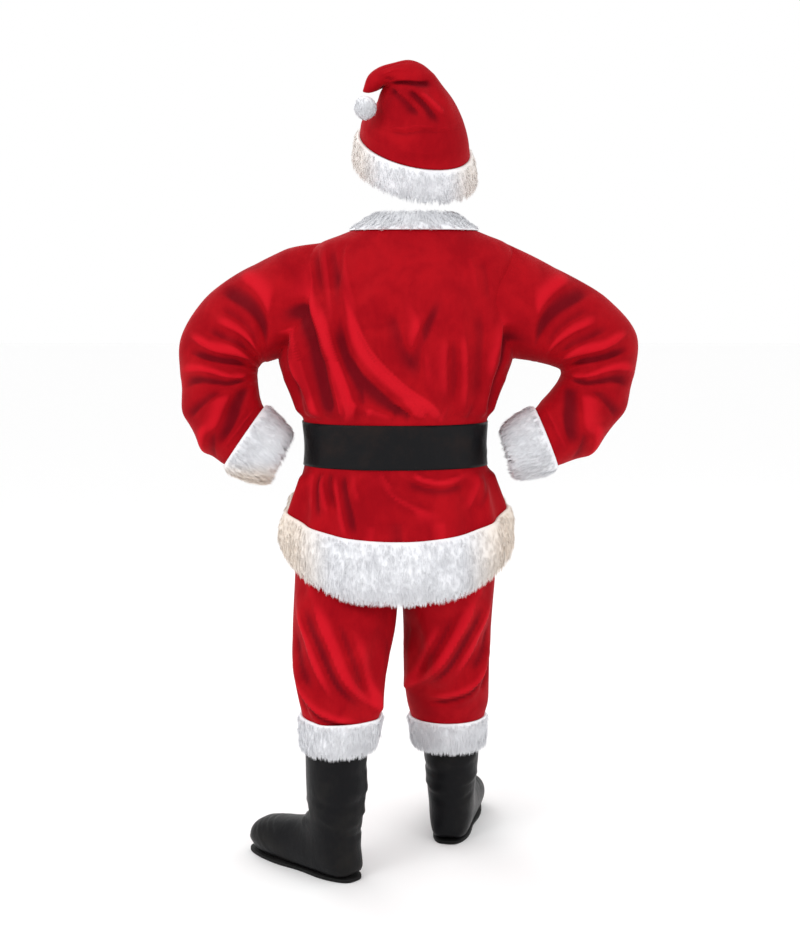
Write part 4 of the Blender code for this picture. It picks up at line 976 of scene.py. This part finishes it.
def solePiece(side):
    start, toe, across = bootFrame(side)
    length = boots["soleToe"] - boots["soleHeel"]
    bm = bmesh.new()
    bmesh.ops.create_circle(bm, cap_ends=True, segments=96, radius=1.0)
    for vert in bm.verts:
        turn = math.atan2(vert.co.y, vert.co.x)
        along = boots["soleHeel"] + length * (1 - math.cos(turn)) / 2
        share = (along - boots["soleHeel"]) / length
        depth, place, spread, wider = boots["soleWaist"]
        waist = 1 - depth * math.exp(-(((share - place) / spread) ** 2)) + wider * share
        sine = math.sin(turn)
        reach = boots["soleHalfWidth"] * math.copysign(abs(sine) ** boots["soleSquareness"], sine) * waist
        vert.co = Vector(start + toe * along + across * reach)
    middle = Vector(start + toe * (boots["soleHeel"] + length / 2))
    faces = list(bm.faces)
    for rise, scale in boots["soleLayers"]:
        verts, faces = raised(bm, faces, rise)
        for vert in verts:
            vert.co.x = middle.x + (vert.co.x - middle.x) * scale
            vert.co.y = middle.y + (vert.co.y - middle.y) * scale
    flatEdges = [e for e in bm.edges if spanOf(e, 2) < 1e-6]
    rims = [e for e in flatEdges if min(e.verts[0].co.z, boots["soleTop"] - e.verts[0].co.z) < 0.0005]
    bevelEdges(bm, rims, boots["soleBevel"], 2)
    bmesh.ops.recalc_face_normals(bm, faces=bm.faces)
    bmesh.ops.translate(bm, vec=(0, 0, -common["lowerBy"]), verts=bm.verts)
    return finishMesh(meshFrom(bm, "sole_" + side + "_rubber"), soleRubber, sharpFrom=40)


for side in ways:
    fitPiece(bootPiece(side), "boot_" + side, "leatherette", flat=(0.44, 0.60), held="draped", area=0.20)
    fitPiece(solePiece(side), "sole_" + side, "sole")
print("boot covers made")


# The belt

belt = {
    "creaseScale": 350,
    "bandFur": 0.015,
    "buckleHalfWidth": 0.052,
    "buckleHalfHeight": 0.057,
    "buckleBar": 0.013,
    "buckleThick": 0.004,
    "buckleCorner": 0.006,
    "buckleBevel": 0.0013,
    "prongWidth": 0.0080,
    "prongBevel": 0.0011,
    # slow waves of the edges: size, how many go round, start
    "waves": [(0.0009, 5, 0.7), (0.0006, 11, 0.0)],
    # the pressed line: depth, place in from the edge, width; then the rolled edge: depth, width
    "pressedLine": (0.0005, 0.006, 0.0012),
    "rolledEdge": (0.0006, 0.0022),
    "deepest": -0.0012,
    # creases: rise, half the width, then points as angle and height over the belt's middle, which
    # is drawn out so that a step counts as much up the belt as round it
    "creases": [
        (1.6, 2.6, 58, -6.3, 70, -7.7, 84, -4.9), (1.8, 2.8, 96, 8.4, 112, 10.5, 126, 7),
        (-1.6, 2.6, 118, 7, 132, 3.5, 146, 4.2), (1.4, 2.2, 140, 9.8, 150, 5.6, 160, 0),
        (-1.4, 2.4, 20, 9.1, 32, 5.6, 46, 7.7), (1.4, 2.4, 164, -10.5, 174, -7.7, 186, -9.1),
        (-1.4, 2.6, 204, 7, 218, 4.2, 232, 7), (1.4, 2.6, 300, -7, 314, -4.2, 330, -6.3),
        (-1.4, 2.4, 338, 8.4, 350, 5.6, 362, 7.7),
    ],
}


beltMiddle = (common["beltBottom"] + common["beltTop"]) / 2


def beltSurface(angle, height, out):
    overBand = 1 - eased(np.abs(turnBetween(angle, common["frontMiddle"])), 16, 30)
    away = plainNormal(angle, np.full_like(angle, beltMiddle))
    away[..., 2] = 0
    standing = 2 * common["seamGap"] + belt["bandFur"] * 0.12 * overBand + out
    return bodyPlain(angle, height) + unit(away) * standing[..., None]


def beltPiece():
    def surface(across, up):
        angle = 360.0 * across
        height = common["beltBottom"] + (common["beltTop"] - common["beltBottom"]) * up
        fine = creaseLift(angle, (height - beltMiddle) * belt["creaseScale"], belt["creases"])
        wave = sum(size * np.sin(np.radians(angle * count) + start) for size, count, start in belt["waves"])
        edge = np.minimum(up, 1 - up) * (common["beltTop"] - common["beltBottom"])
        depth, place, width = belt["pressedLine"]
        fine = fine - depth * np.exp(-(((edge - place) / width) ** 2))
        depth, width = belt["rolledEdge"]
        fine = fine - depth * (1 - eased(edge, 0.0, width))
        bulge = np.maximum(fine + wave * (2 * up - 1) ** 2, belt["deepest"])
        return beltSurface(angle, height, common["wall"] + bulge), fine * 2

    return clothPiece("belt_strap_satin", 260, 16, surface, beltSatin, tube=True)


def buckleParts():
    front = np.array([common["frontMiddle"]])
    face = beltSurface(front, np.array([common["beltBottom"]]), common["wall"])[0, 1] - common["seamGap"]
    middleX = beltSurface(front, np.array([common["beltTop"]]), 0.0)[0, 0]
    middleZ = beltMiddle - common["lowerBy"]
    bm = bmesh.new()
    bmesh.ops.create_grid(bm, x_segments=1, y_segments=1, size=1.0)
    bmesh.ops.scale(bm, vec=(belt["buckleHalfWidth"], belt["buckleHalfHeight"], 1), verts=bm.verts)
    ring = bmesh.ops.inset_region(bm, faces=bm.faces, thickness=belt["buckleBar"], use_boundary=True)
    centre = [f for f in bm.faces if f not in ring["faces"]]
    bmesh.ops.delete(bm, geom=centre, context="FACES")
    raised(bm, list(bm.faces), belt["buckleThick"])
    bmesh.ops.recalc_face_normals(bm, faces=bm.faces)
    bevelEdges(bm, [e for e in bm.edges if spanOf(e, 2) > 1e-5], belt["buckleCorner"], 5)
    flatEdges = [e for e in bm.edges if len(e.link_faces) == 2 and e.calc_face_angle(0) > 1.0]
    bevelEdges(bm, flatEdges, belt["buckleBevel"], 3)
    # its face towards -Y
    bmesh.ops.rotate(bm, cent=(0, 0, 0), matrix=Matrix.Rotation(math.radians(90), 3, "X"), verts=bm.verts)
    bmesh.ops.translate(bm, vec=(middleX, face, middleZ), verts=bm.verts)
    frameItem = finishMesh(meshFrom(bm, "belt_buckle_gilt"), gilt, sharpFrom=35)

    # the prong: a rounded bar that narrows and thins towards its point
    bm = bmesh.new()
    length = belt["buckleHalfWidth"] - belt["buckleBar"] - common["seamGap"]
    bmesh.ops.create_cube(bm, size=1.0)
    bmesh.ops.subdivide_edges(bm, edges=[e for e in bm.edges if spanOf(e, 0) > 0.5], cuts=10)
    for vert in bm.verts:
        share = vert.co.x + 0.5
        wide = belt["prongWidth"] * (1 - 0.35 * share)
        thick = belt["buckleThick"] * (1 - 0.30 * share)
        vert.co = Vector(((2 * share - 1) * length, vert.co.y * thick, vert.co.z * wide))
    sharp = [e for e in bm.edges if e.calc_face_angle(0) > 1.0]
    bevelEdges(bm, sharp, belt["prongBevel"], 3)
    bmesh.ops.translate(bm, vec=(middleX, face - belt["buckleThick"] / 2, middleZ), verts=bm.verts)
    return frameItem, finishMesh(meshFrom(bm, "belt_prong_gilt"), gilt, sharpFrom=40)


fitPiece(beltPiece(), "belt_strap", "leatherette", flat=(1.20, 0.10), held="draped")
for piece, node in zip(buckleParts(), ("belt_buckle", "belt_prong")):
    fitPiece(piece, node, "buckle")
print("belt made")


# The hat

hat = {
    "bandHeight": 0.066,
    "tilt": 0.183,
    "closeStart": 0.975,
    # place up the crown, x, y, height, half across, half deep, lean
    "rings": [
        (0, -0.034, -0.020, 1.660, 0.126, 0.118, 30),
        (1, -0.034, -0.006, 1.690, 0.121, 0.112, 28),
        (2, -0.036, 0.008, 1.717, 0.108, 0.099, 24),
        (3, -0.037, 0.020, 1.742, 0.092, 0.084, 18),
        (4, -0.034, 0.030, 1.765, 0.078, 0.071, 13),
        (5, -0.030, 0.038, 1.785, 0.065, 0.059, 9),
    ],
    # the end that folds over: place, under x and height, upper x and height, y, half deep
    "end": placed([
        (40, 1782, -77, 1808, 44, 52), (45, 1777, -50, 1829, 48, 47), (49, 1773, -20, 1838, 53, 42),
        (53, 1770, 14, 1831, 60, 36), (57, 1767.5, 47, 1820, 68, 29), (62, 1765, 71, 1800, 76, 20),
        (68, 1763, 83, 1765.5, 83, 11),
    ]),
    # broad folds: place, angle from the wearer's left by the back, rise, length, spread
    "folds": [
        (4.4, 60, 8, 1, 16), (4.8, 100, 7, 0.9, 14), (4, 140, 6, 1, 16), (4.2, 20, 6, 0.9, 16),
        (4.4, 230, 6, 1, 18), (4.6, 300, 7, 1, 18),
    ],
    # creases over the unrolled crown: rise, half the width, then points as 40 * place and angle
    "creases": [
        (-8.5, 8.4, 196, 40, 170, 66, 136, 84, 108, 92), (7, 6, 188, 60, 160, 78, 120, 102),
        (-8.5, 7.6, 192, 80, 144, 104, 92, 122), (6, 6.4, 188, 100, 148, 118, 112, 132),
        (-12, 10.4, 236, 44, 224, 76, 212, 108, 216, 136),
        (3.4, 4, 80, 48, 86, 72, 96, 92, 90, 126, 76, 156), (-3.4, 4.8, 68, 52, 74, 80, 84, 100, 78, 128),
        (2, 6.4, 36, 56, 40, 88, 36, 120), (-3.4, 6.8, 256, 56, 304, 64, 352, 72),
        (3, 6.8, 272, 104, 328, 100, 384, 92), (-2.8, 6.4, 304, 136, 352, 132, 400, 120),
        (2.4, 8.8, 24, 216, 88, 224, 152, 240), (-2.4, 8.8, 32, 288, 96, 280, 160, 264),
        (-3.6, 7.2, 136, 208, 192, 224, 248, 248), (3.4, 7.2, 152, 296, 200, 288, 256, 272),
        (2.8, 6.8, 264, 224, 320, 232, 376, 240),
    ],
}


def hatPoint(at, turn, fine=0.0):
    at, turn = matched(at, turn)
    angle = np.radians(turn)
    lift = fine + swellLift(at, turn, hat["folds"])
    x, y, z, across, depth, lean = sampleRows(hat["rings"], at)
    lean = np.radians(lean)
    rear = stack(0 * at, np.cos(lean), -np.sin(lean)) * (depth + lift)[..., None]
    right = stack(across + lift, 0, (across + lift) * hat["tilt"] * (1 - eased(at, 0.0, 4.0)))
    low = stack(x, y, z) + right * np.cos(angle)[..., None] + rear * np.sin(angle)[..., None]
    underX, underZ, upperX, upperZ, endY, endDepth = sampleRows(hat["end"], at - 6.0)
    spokeX, spokeZ = (underX - upperX) / 2, (underZ - upperZ) / 2
    half = np.hypot(spokeX, spokeZ)
    grown = 1 + fine / np.maximum(half, 0.02)
    high = stack(
        (underX + upperX) / 2 + spokeX * np.cos(angle) * grown,
        endY + endDepth * np.sin(angle) * grown,
        (underZ + upperZ) / 2 + spokeZ * np.cos(angle) * grown,
    )
    # the two descriptions meet between places 5 and 6
    share = np.clip(at - 5.0, 0.0, 1.0)[..., None]
    return low * (1 - share) + high * share


def hatPiece():
    def surface(across, up):
        turn = 360.0 * across
        at = 12.0 * np.minimum(up / hat["closeStart"], 1.0)
        fine = creasesAround(at, turn, 40, 360, hat["creases"])
        fine *= eased(at, 0.0, 0.6) * (1 - eased(at, 10.6, 12.0))
        points = hatPoint(at, turn, fine)
        centre = (hatPoint(at, np.zeros_like(at)) + hatPoint(at, np.full_like(at, 180.0))) / 2
        shrink = np.clip((up - hat["closeStart"]) / (1 - hat["closeStart"]), 0, 1)[..., None]
        return points * (1 - shrink) + centre * shrink, fine

    return clothPiece("hat_crown_velvet", 96, 104, surface, velvet, tube=True)


fitPiece(hatPiece(), "hat_crown", "velvet", flat=(0.72, 0.38), held="draped", area=0.135)
print("hat made")


# The fur: a closed strip with its hairs, drawn together into locks

fur = {
    # the outside of a strip's section, from its sewn edge to its free one: across, out
    "outside": [
        (1.00, 0.24), (0.95, 0.44), (0.80, 0.60), (0.50, 0.66), (0.22, 0.62), (0.02, 0.44), (-0.03, 0.08)
    ],
    "inside": [(0.02, -0.20), (0.98, -0.20)],
    "sectionSteps": 14,
    "inLock": 7,
    "lockRadius": 0.0032,
    "lockSpread": 0.6,
    "lockLengths": (0.72, 1.22),
    "hairLengths": (0.80, 1.12),
    "stray": 0.12,
    "tousle": 0.10,
    "hairWidth": 0.00042,
    "rootSunk": 0.0015,
    # the backing is painted a little darker than the hairs, as shade between them
    "backingShade": 0.95,
    "cool": (0.965, 0.975, 1.0),
    "cream": (1.0, 0.895, 0.785),
    "firstSeed": 11,
    "pompomSeed": 31,
    "pompomRadius": 0.0230,
    "pompomCentre": (0.0765, 0.0850, 1.7330 - common["lowerBy"]),
}


def between(grid, u, v):
    i = np.clip(u.astype(int), 0, grid.shape[0] - 2)
    j = np.clip(v.astype(int), 0, grid.shape[1] - 2)
    a, b = (u - i)[:, None], (v - j)[:, None]
    low = grid[i, j] * (1 - b) + grid[i, j + 1] * b
    high = grid[i + 1, j] * (1 - b) + grid[i + 1, j + 1] * b
    return low * (1 - a) + high * a


def growHairs(grid, around, hair, seed):
    # grid holds points of the outside: stations by places across; hair fields are in metres
    rng = np.random.default_rng(seed)
    along = np.gradient(grid, axis=0)
    over = np.gradient(grid, axis=1)
    normal = unit(np.cross(along, over))
    heart = hair.get("heart", grid.mean(axis=1, keepdims=True))
    if np.mean(np.sum(normal * (grid - heart), axis=-1)) < 0:
        normal = -normal
    fall = np.repeat(unit(grid[:, -1:] - grid[:, :1]), grid.shape[1], axis=1)
    lay = unit(unit(over) * 0.5 + fall * 0.5)
    cells = np.linalg.norm(np.cross(along, over), axis=-1)[:-1, :-1]
    total = np.cumsum(cells.ravel())
    locks = hair["hairs"] // fur["inLock"]

    def perHair(values):
        return np.repeat(values, fur["inLock"], axis=0)

    pick = np.searchsorted(total, rng.random(locks) * total[-1])
    row, column = np.divmod(pick, cells.shape[1])
    u = row + rng.random(locks)
    v = column + rng.random(locks)
    stepU = fur["lockRadius"] / np.maximum(np.linalg.norm(between(along, u, v), axis=-1), 1e-5)
    stepV = fur["lockRadius"] / np.maximum(np.linalg.norm(between(over, u, v), axis=-1), 1e-5)
    shape = (locks, fur["inLock"])
    hairU = (u[:, None] + rng.normal(0, fur["lockSpread"], shape) * stepU[:, None]).ravel()
    hairV = (v[:, None] + rng.normal(0, fur["lockSpread"], shape) * stepV[:, None]).ravel()
    last = grid.shape[0] - 1
    hairU = hairU % last if around else np.clip(hairU, 0, last)
    hairV = np.clip(hairV, 0, grid.shape[1] - 1.001)
    away = unit(between(normal, hairU, hairV))
    down = unit(between(lay, hairU, hairV))
    lockAim = perHair(rng.normal(0, fur["tousle"], (locks, 3)))
    lockLong = perHair(rng.uniform(*fur["lockLengths"], locks))
    count = len(hairU)
    length = hair["length"] * lockLong * rng.uniform(*fur["hairLengths"], count)
    root = between(grid, hairU, hairV) - away * fur["rootSunk"]
    if "pressed" in hair:
        # no pile stands up between these heights, under the belt
        low, high, fade = hair["pressed"]
        within = np.minimum(root[:, 2] - low, high - root[:, 2])
        length = length * (1 - eased(within, -fade, -0.2 * fade))
    stray = rng.normal(0, fur["stray"], (count, 3))
    first = unit(away * hair["lift"] + down * hair["lay"] + lockAim + stray)
    middle = root + first * (length * 0.5)[:, None]
    droop = np.array(hair.get("droop", (0, 0, -0.35)))
    second = unit(away * hair["lift"] * 0.40 + down * (hair["lay"] + 0.45) + lockAim * 1.3 + droop)
    tip = middle + second * (length * 0.5)[:, None]

    def drawn(points, share):
        # towards the middle of the hair's lock
        lockMean = points.reshape(locks, fur["inLock"], 3).mean(axis=1)
        return points + (perHair(lockMean) - points) * share

    middle = drawn(middle, 0.25)
    tip = drawn(tip, 0.50)
    # each hair is a narrow blade: two points at its root, two at its middle and one tip
    side = unit(np.cross(first, away) + away * rng.uniform(-0.8, 0.8, (count, 1)))
    facing = np.cross(side, first)
    side = np.where(np.sum(facing * away, axis=-1)[:, None] < 0, -side, side)
    wide = side * fur["hairWidth"] * rng.uniform(0.7, 1.2, (count, 1))
    points = np.stack([root - wide, root + wide, middle - 0.8 * wide, middle + 0.8 * wide, tip], axis=1)
    shading = unit(away * 0.75 + unit(np.cross(side, first)) * 0.35 + rng.normal(0, 0.10, (count, 3)))
    bright = perHair(rng.uniform(0.92, 1.0, locks)) * rng.uniform(0.96, 1.0, count)
    # painted shade at the roots of the hairs, lighter towards the tips
    paintedRootShade = np.array([0.92, 0.92, 0.98, 0.98, 1.0])
    return points, np.repeat(shading[:, None, :], 5, axis=1), bright[:, None] * paintedRootShade


def furTone(points, toneAndShade, hair):
    # white, warmed where the table says so, and times each point's own tone and painted shade
    warm = np.zeros(toneAndShade.shape)
    if "warmBeyond" in hair:
        centre, start, full = hair["warmBeyond"]
        warm = eased(np.abs(points[..., 0] - centre), start, full) * hair.get("warmth", 1.0)
    if "warmBelow" in hair:
        warm = 1 - eased(points[..., 2], *hair["warmBelow"])
    tone = np.array(fur["cool"]) * (1 - warm[..., None]) + np.array(fur["cream"]) * warm[..., None]
    return np.concatenate([tone * toneAndShade[..., None], np.ones(toneAndShade.shape + (1,))], axis=-1)


def hairyMesh(name, backing, hairs, hair):
    # one mesh of the backing and every hair on it, a four-sided face and a tip for each
    points, shading, toneAndShade = hairs
    baseCount = len(backing.vertices)
    basePoints = np.empty(baseCount * 3)
    backing.vertices.foreach_get("co", basePoints)
    basePoints = basePoints.reshape(-1, 3)
    baseNormals = np.array([vert.normal[:] for vert in backing.vertices])
    corners = np.empty(len(backing.loops), int)
    backing.loops.foreach_get("vertex_index", corners)
    starts = np.empty(len(backing.polygons), int)
    backing.polygons.foreach_get("loop_start", starts)
    order = np.arange(len(points))[:, None]
    blades = baseCount + 5 * order + np.array([0, 1, 3, 2, 2, 3, 4])
    bladeStarts = len(corners) + 7 * order + np.array([0, 4])
    mesh = bpy.data.meshes.new(name)
    mesh.vertices.add(baseCount + points.size // 3)
    mesh.vertices.foreach_set("co", np.concatenate([basePoints.ravel(), points.ravel()]))
    mesh.loops.add(len(corners) + blades.size)
    mesh.loops.foreach_set("vertex_index", np.concatenate([corners, blades.ravel()]))
    mesh.polygons.add(len(starts) + bladeStarts.size)
    mesh.polygons.foreach_set("loop_start", np.concatenate([starts, bladeStarts.ravel()]))
    mesh.update(calc_edges=True)
    bpy.data.meshes.remove(backing)
    # painted shade on the backing, under and between the hairs
    paintedBackingShade = np.full((baseCount, 1), fur["backingShade"])
    baseTone = furTone(basePoints[:, None, :], paintedBackingShade, hair)
    layer = mesh.attributes.new("toneAndShade", "FLOAT_COLOR", "POINT")
    layer.data.foreach_set("color", np.concatenate([baseTone.ravel(), furTone(points, toneAndShade, hair).ravel()]))
    piece = finishMesh(mesh, whiteFur)
    normals = np.concatenate([baseNormals, shading.reshape(-1, 3)])
    mesh.normals_split_custom_set_from_vertices(normals.tolist())
    return piece


def furPiece(name, place, stations, around, hair, seed):
    def laid(across, outs):
        # the section's points at every station
        full = np.repeat(across[None, :], len(stations), axis=0)
        points = place(np.repeat(stations[:, None], len(across), axis=1), full, outs)
        return points - np.array([0, 0, common["lowerBy"]])

    keyed = [(i, *point) for i, point in enumerate(fur["outside"])]
    across, out = sampleRows(keyed, np.linspace(0, len(keyed) - 1, fur["sectionSteps"]))
    thick = np.full((len(stations), 1), hair["depth"])
    innerAcross, innerOut = np.array(fur["inside"]).T
    inner = laid(innerAcross, innerOut * thick)
    if not around:
        # a strip with two ends is slightly tufted along its length
        thick = thick * (1 + 0.07 * np.sin(1.9 * np.arange(len(stations))))[:, None]
    grid = laid(across, out * thick)
    loop = np.concatenate([grid, inner, grid[:, :1]], axis=1)
    bm = bmesh.new()
    columns, rows = loop.shape[0] - 1, loop.shape[1] - 1
    bmesh.ops.create_grid(bm, x_segments=columns, y_segments=rows, size=0.5)
    for vert in bm.verts:
        vert.co = Vector(loop[round((vert.co.x + 0.5) * columns), round((vert.co.y + 0.5) * rows)])
    bmesh.ops.remove_doubles(bm, verts=bm.verts, dist=common["weld"])
    if not around:
        rim = [edge for edge in bm.edges if edge.is_boundary]
        bmesh.ops.holes_fill(bm, edges=rim, sides=0)
    bmesh.ops.recalc_face_normals(bm, faces=bm.faces)
    return hairyMesh(name, meshFrom(bm, name + "_backing"), growHairs(grid, around, hair, seed), hair)


def pompomPiece(hair, seed):
    centre = np.array(fur["pompomCentre"])
    u = np.radians(np.linspace(0, 360, 49))[:, None]
    v = np.radians(np.linspace(2, 178, 25))[None, :]
    ball = stack(np.cos(u) * np.sin(v), np.sin(u) * np.sin(v), np.cos(v))
    bm = bmesh.new()
    bmesh.ops.create_icosphere(bm, subdivisions=4, radius=fur["pompomRadius"])
    bmesh.ops.translate(bm, vec=Vector(centre), verts=bm.verts)
    hairs = growHairs(centre + ball * fur["pompomRadius"], True, hair, seed)
    return hairyMesh("hat_pompom_white", meshFrom(bm, "pompomBacking"), hairs, hair)


def pastEdges(across, gap, reach):
    # how far a strip stands off at its sewn edge, or goes on past its free one
    return np.where(across >= 1.0, gap, -np.minimum(across, 0.0) * reach)


def hemPlace(angle, across, out):
    height = jacket["hemNominal"] + jacket["hemFurHeight"] * np.clip(across, 0.0, 1.0)
    point = bodyPoint(angle, height) + bodyNormal(angle, height) * out[..., None]
    point[..., 2] -= pastEdges(across, 2 * common["seamGap"], jacket["hemFurHeight"])
    return point


def bandPlace(height, across, out):
    reach = frontEdge(height) * (2 * np.clip(across, 0.0, 1.0) - 1)
    angle = common["frontMiddle"] + reach
    low, high = common["beltBottom"], common["beltTop"]
    clear = 1 - eased(height, low - 0.030, low - 0.012) + eased(height, high + 0.012, high + 0.030)
    full = out * (0.10 + 0.90 * clear)
    away = bodyNormal(angle, height)
    away[..., 2] *= 1 - eased(height, 1.36, 1.44)
    return bodyPoint(angle, height) + unit(away) * full[..., None]


def collarPlace(angle, across, out):
    height = jacket["neckHeight"] - jacket["collarHeight"] * np.clip(across, 0.0, 1.0)
    away = bodyNormal(angle, height)
    away[..., 2] = 0
    point = bodyPoint(angle, height) + unit(away) * out[..., None]
    point[..., 2] += pastEdges(across, common["seamGap"], jacket["collarHeight"])
    return point


def cuffPlace(side):
    start = sleeveCentre(side, np.array(sleeves["cuffStart"]))
    axis = unit(sleeveCentre(side, np.array(sleeves["cuffEnd"])) - start)

    def place(turn, across, out):
        at = sleeves["cuffEnd"] - (sleeves["cuffEnd"] - sleeves["cuffStart"]) * np.clip(across, 0.0, 1.0)
        point = sleeveShape(side, at, turn, 0.0 * at)
        away = unit(point - sleeveCentre(side, at))
        seam = pastEdges(across, common["seamGap"], sleeves["cuffLength"])
        return point + away * out[..., None] + axis * seam[..., None]

    return place


def legFurPlace(side):
    low = trousers[side][0][0]
    way = ways[side]

    def place(angle, across, out):
        height = low + trousers["furHeight"] * np.clip(across, 0.0, 1.0)
        drop = pastEdges(across, common["seamGap"], trousers["furHeight"])
        middle, middleY = legRing(side, height)[:2]
        point = legPoint(side, angle / 180.0, height)
        away = unit(point - stack(way * middle, middleY, height))
        point = point + away * out[..., None]
        return point + stack(way * common["seamGap"] / 2 + 0 * height, 0, -drop)

    return place


def hatBandPlace(turn, across, out):
    zero = np.zeros_like(turn)
    point = hatPoint(zero, turn)
    up = unit(hatPoint(zero + 0.6, turn) - point)
    centre = np.array(hat["rings"][0][1:4])
    away = unit(point - centre)
    drop = np.where(across >= 1.0, common["seamGap"], hat["bandHeight"] * (1 - across))
    return point - up * drop[..., None] + away * out[..., None]


def hairs(count, length, lift, lay, **more):
    return {"hairs": count, "length": length, "lift": lift, "lay": lay, **more}


underBelt = (common["beltBottom"] - common["lowerBy"], common["beltTop"] - common["lowerBy"], 0.012)
cuffHairs = hairs(19000, 0.018, 0.36, 0.90, depth=0.021, droop=(0, 0, -0.15))
trouserHairs = hairs(21000, 0.017, 0.38, 0.90, depth=0.013)
fringes = {
    "hem_fur": hairs(50000, 0.017, 0.30, 0.95, depth=0.016, warmBeyond=(0.006, 0.14, 0.25)),
    "front_band_fur": hairs(21000, 0.014, 0.60, 0.40, depth=0.015, droop=(0, 0, -0.75), pressed=underBelt),
    "collar_fur": hairs(15000, 0.015, 0.50, 0.60, depth=0.018),
    "cuff_fur_left": dict(cuffHairs, warmBelow=(-0.085, -0.030)),
    "cuff_fur_right": cuffHairs,
    "trouser_fur_left": trouserHairs,
    "trouser_fur_right": trouserHairs,
    "hat_band_fur": hairs(20000, 0.015, 0.38, 0.85, depth=0.015, warmBeyond=(-0.034, 0.07, 0.13), warmth=0.6),
    "hat_pompom": hairs(11000, 0.0090, 0.50, 0.85, droop=(0, 0, -0.1), heart=np.array(fur["pompomCentre"])),
}


def furPlaces():
    full = common["frontMiddle"] + np.array([jacket["seamAngle"], 360 - jacket["seamAngle"]])
    yield "hem_fur", hemPlace, np.linspace(*full, 240), False
    yield "front_band_fur", bandPlace, np.linspace(bodyLow + 0.0045, bodyHigh - 0.0045, 160), False
    yield "collar_fur", collarPlace, np.linspace(*full, 120), False
    for side in ways:
        yield "cuff_fur_" + side, cuffPlace(side), np.linspace(0, 360, 97), True
        yield "trouser_fur_" + side, legFurPlace(side), np.linspace(180, -180, 121), True
    yield "hat_band_fur", hatBandPlace, np.linspace(0, 360, 121), True


for number, (node, place, stations, around) in enumerate(furPlaces()):
    seed = fur["firstSeed"] + number
    fitPiece(furPiece(node + "_white", place, stations, around, fringes[node], seed), node, "fur")
    print(node, "grown")
fitPiece(pompomPiece(fringes["hat_pompom"], fur["pompomSeed"]), "hat_pompom", "fur")
print("fur grown")


# The room, the lights and the camera

studio = {
    "floor": (0.985, 0.985, 0.985, 1.0),
    "surround": (1.0, 1.0, 1.0, 1.0),
    "surroundStrength": 1.0,
    "cameraPlace": (0.0, 3.5, 0.37),
    "cameraDown": 7.2,
    "lens": 57.6,
    # name, place, aims at, size, power
    "lamps": [
        ("keyLamp", (2.2, 2.4, 2.6), (0.0, 0.0, 0.05), 1.4, 38),
        ("fillLamp", (-2.6, 2.6, 1.0), (0.0, 0.0, 0.0), 2.0, 10),
        ("frontLamp", (1.8, -3.0, 2.2), (0.0, 0.0, 0.0), 1.8, 26),
        ("frontFillLamp", (-2.4, -2.6, 1.0), (0.0, 0.0, 0.0), 2.0, 8),
    ],
}


def placeItem(name, data, place, turn):
    item = bpy.data.objects.new(name, data)
    item.location = place
    item.rotation_euler = turn
    bpy.context.scene.collection.objects.link(item)
    return item


bm = bmesh.new()
bmesh.ops.create_grid(bm, x_segments=1, y_segments=1, size=30)
bmesh.ops.translate(bm, vec=(0, 0, -common["lowerBy"] - common["seamGap"]), verts=bm.verts)
paleFloor = newMaterial("paleFloor", {"Roughness": 0.9, "Base Color": studio["floor"]})[0]
finishMesh(meshFrom(bm, "floor"), paleFloor, smooth=False)
world = bpy.data.worlds.new("surround")
bpy.context.scene.world = world
world.use_nodes = True
light = {"Color": studio["surround"], "Strength": studio["surroundStrength"]}
feed(world.node_tree.nodes["Background"], light)
for name, place, target, size, power in studio["lamps"]:
    data = bpy.data.lights.new(name, "AREA")
    data.size = size
    data.energy = power
    turn = (Vector(target) - Vector(place)).to_track_quat("-Z", "Y").to_euler()
    placeItem(name, data, place, turn)
data = bpy.data.cameras.new("camera")
data.lens = studio["lens"]
data.sensor_width = 36
turn = (math.radians(90 - studio["cameraDown"]), 0, math.radians(180))
bpy.context.scene.camera = placeItem("camera", data, studio["cameraPlace"], turn)
bpy.context.scene.view_settings.view_transform = "Standard"
print("stage set")
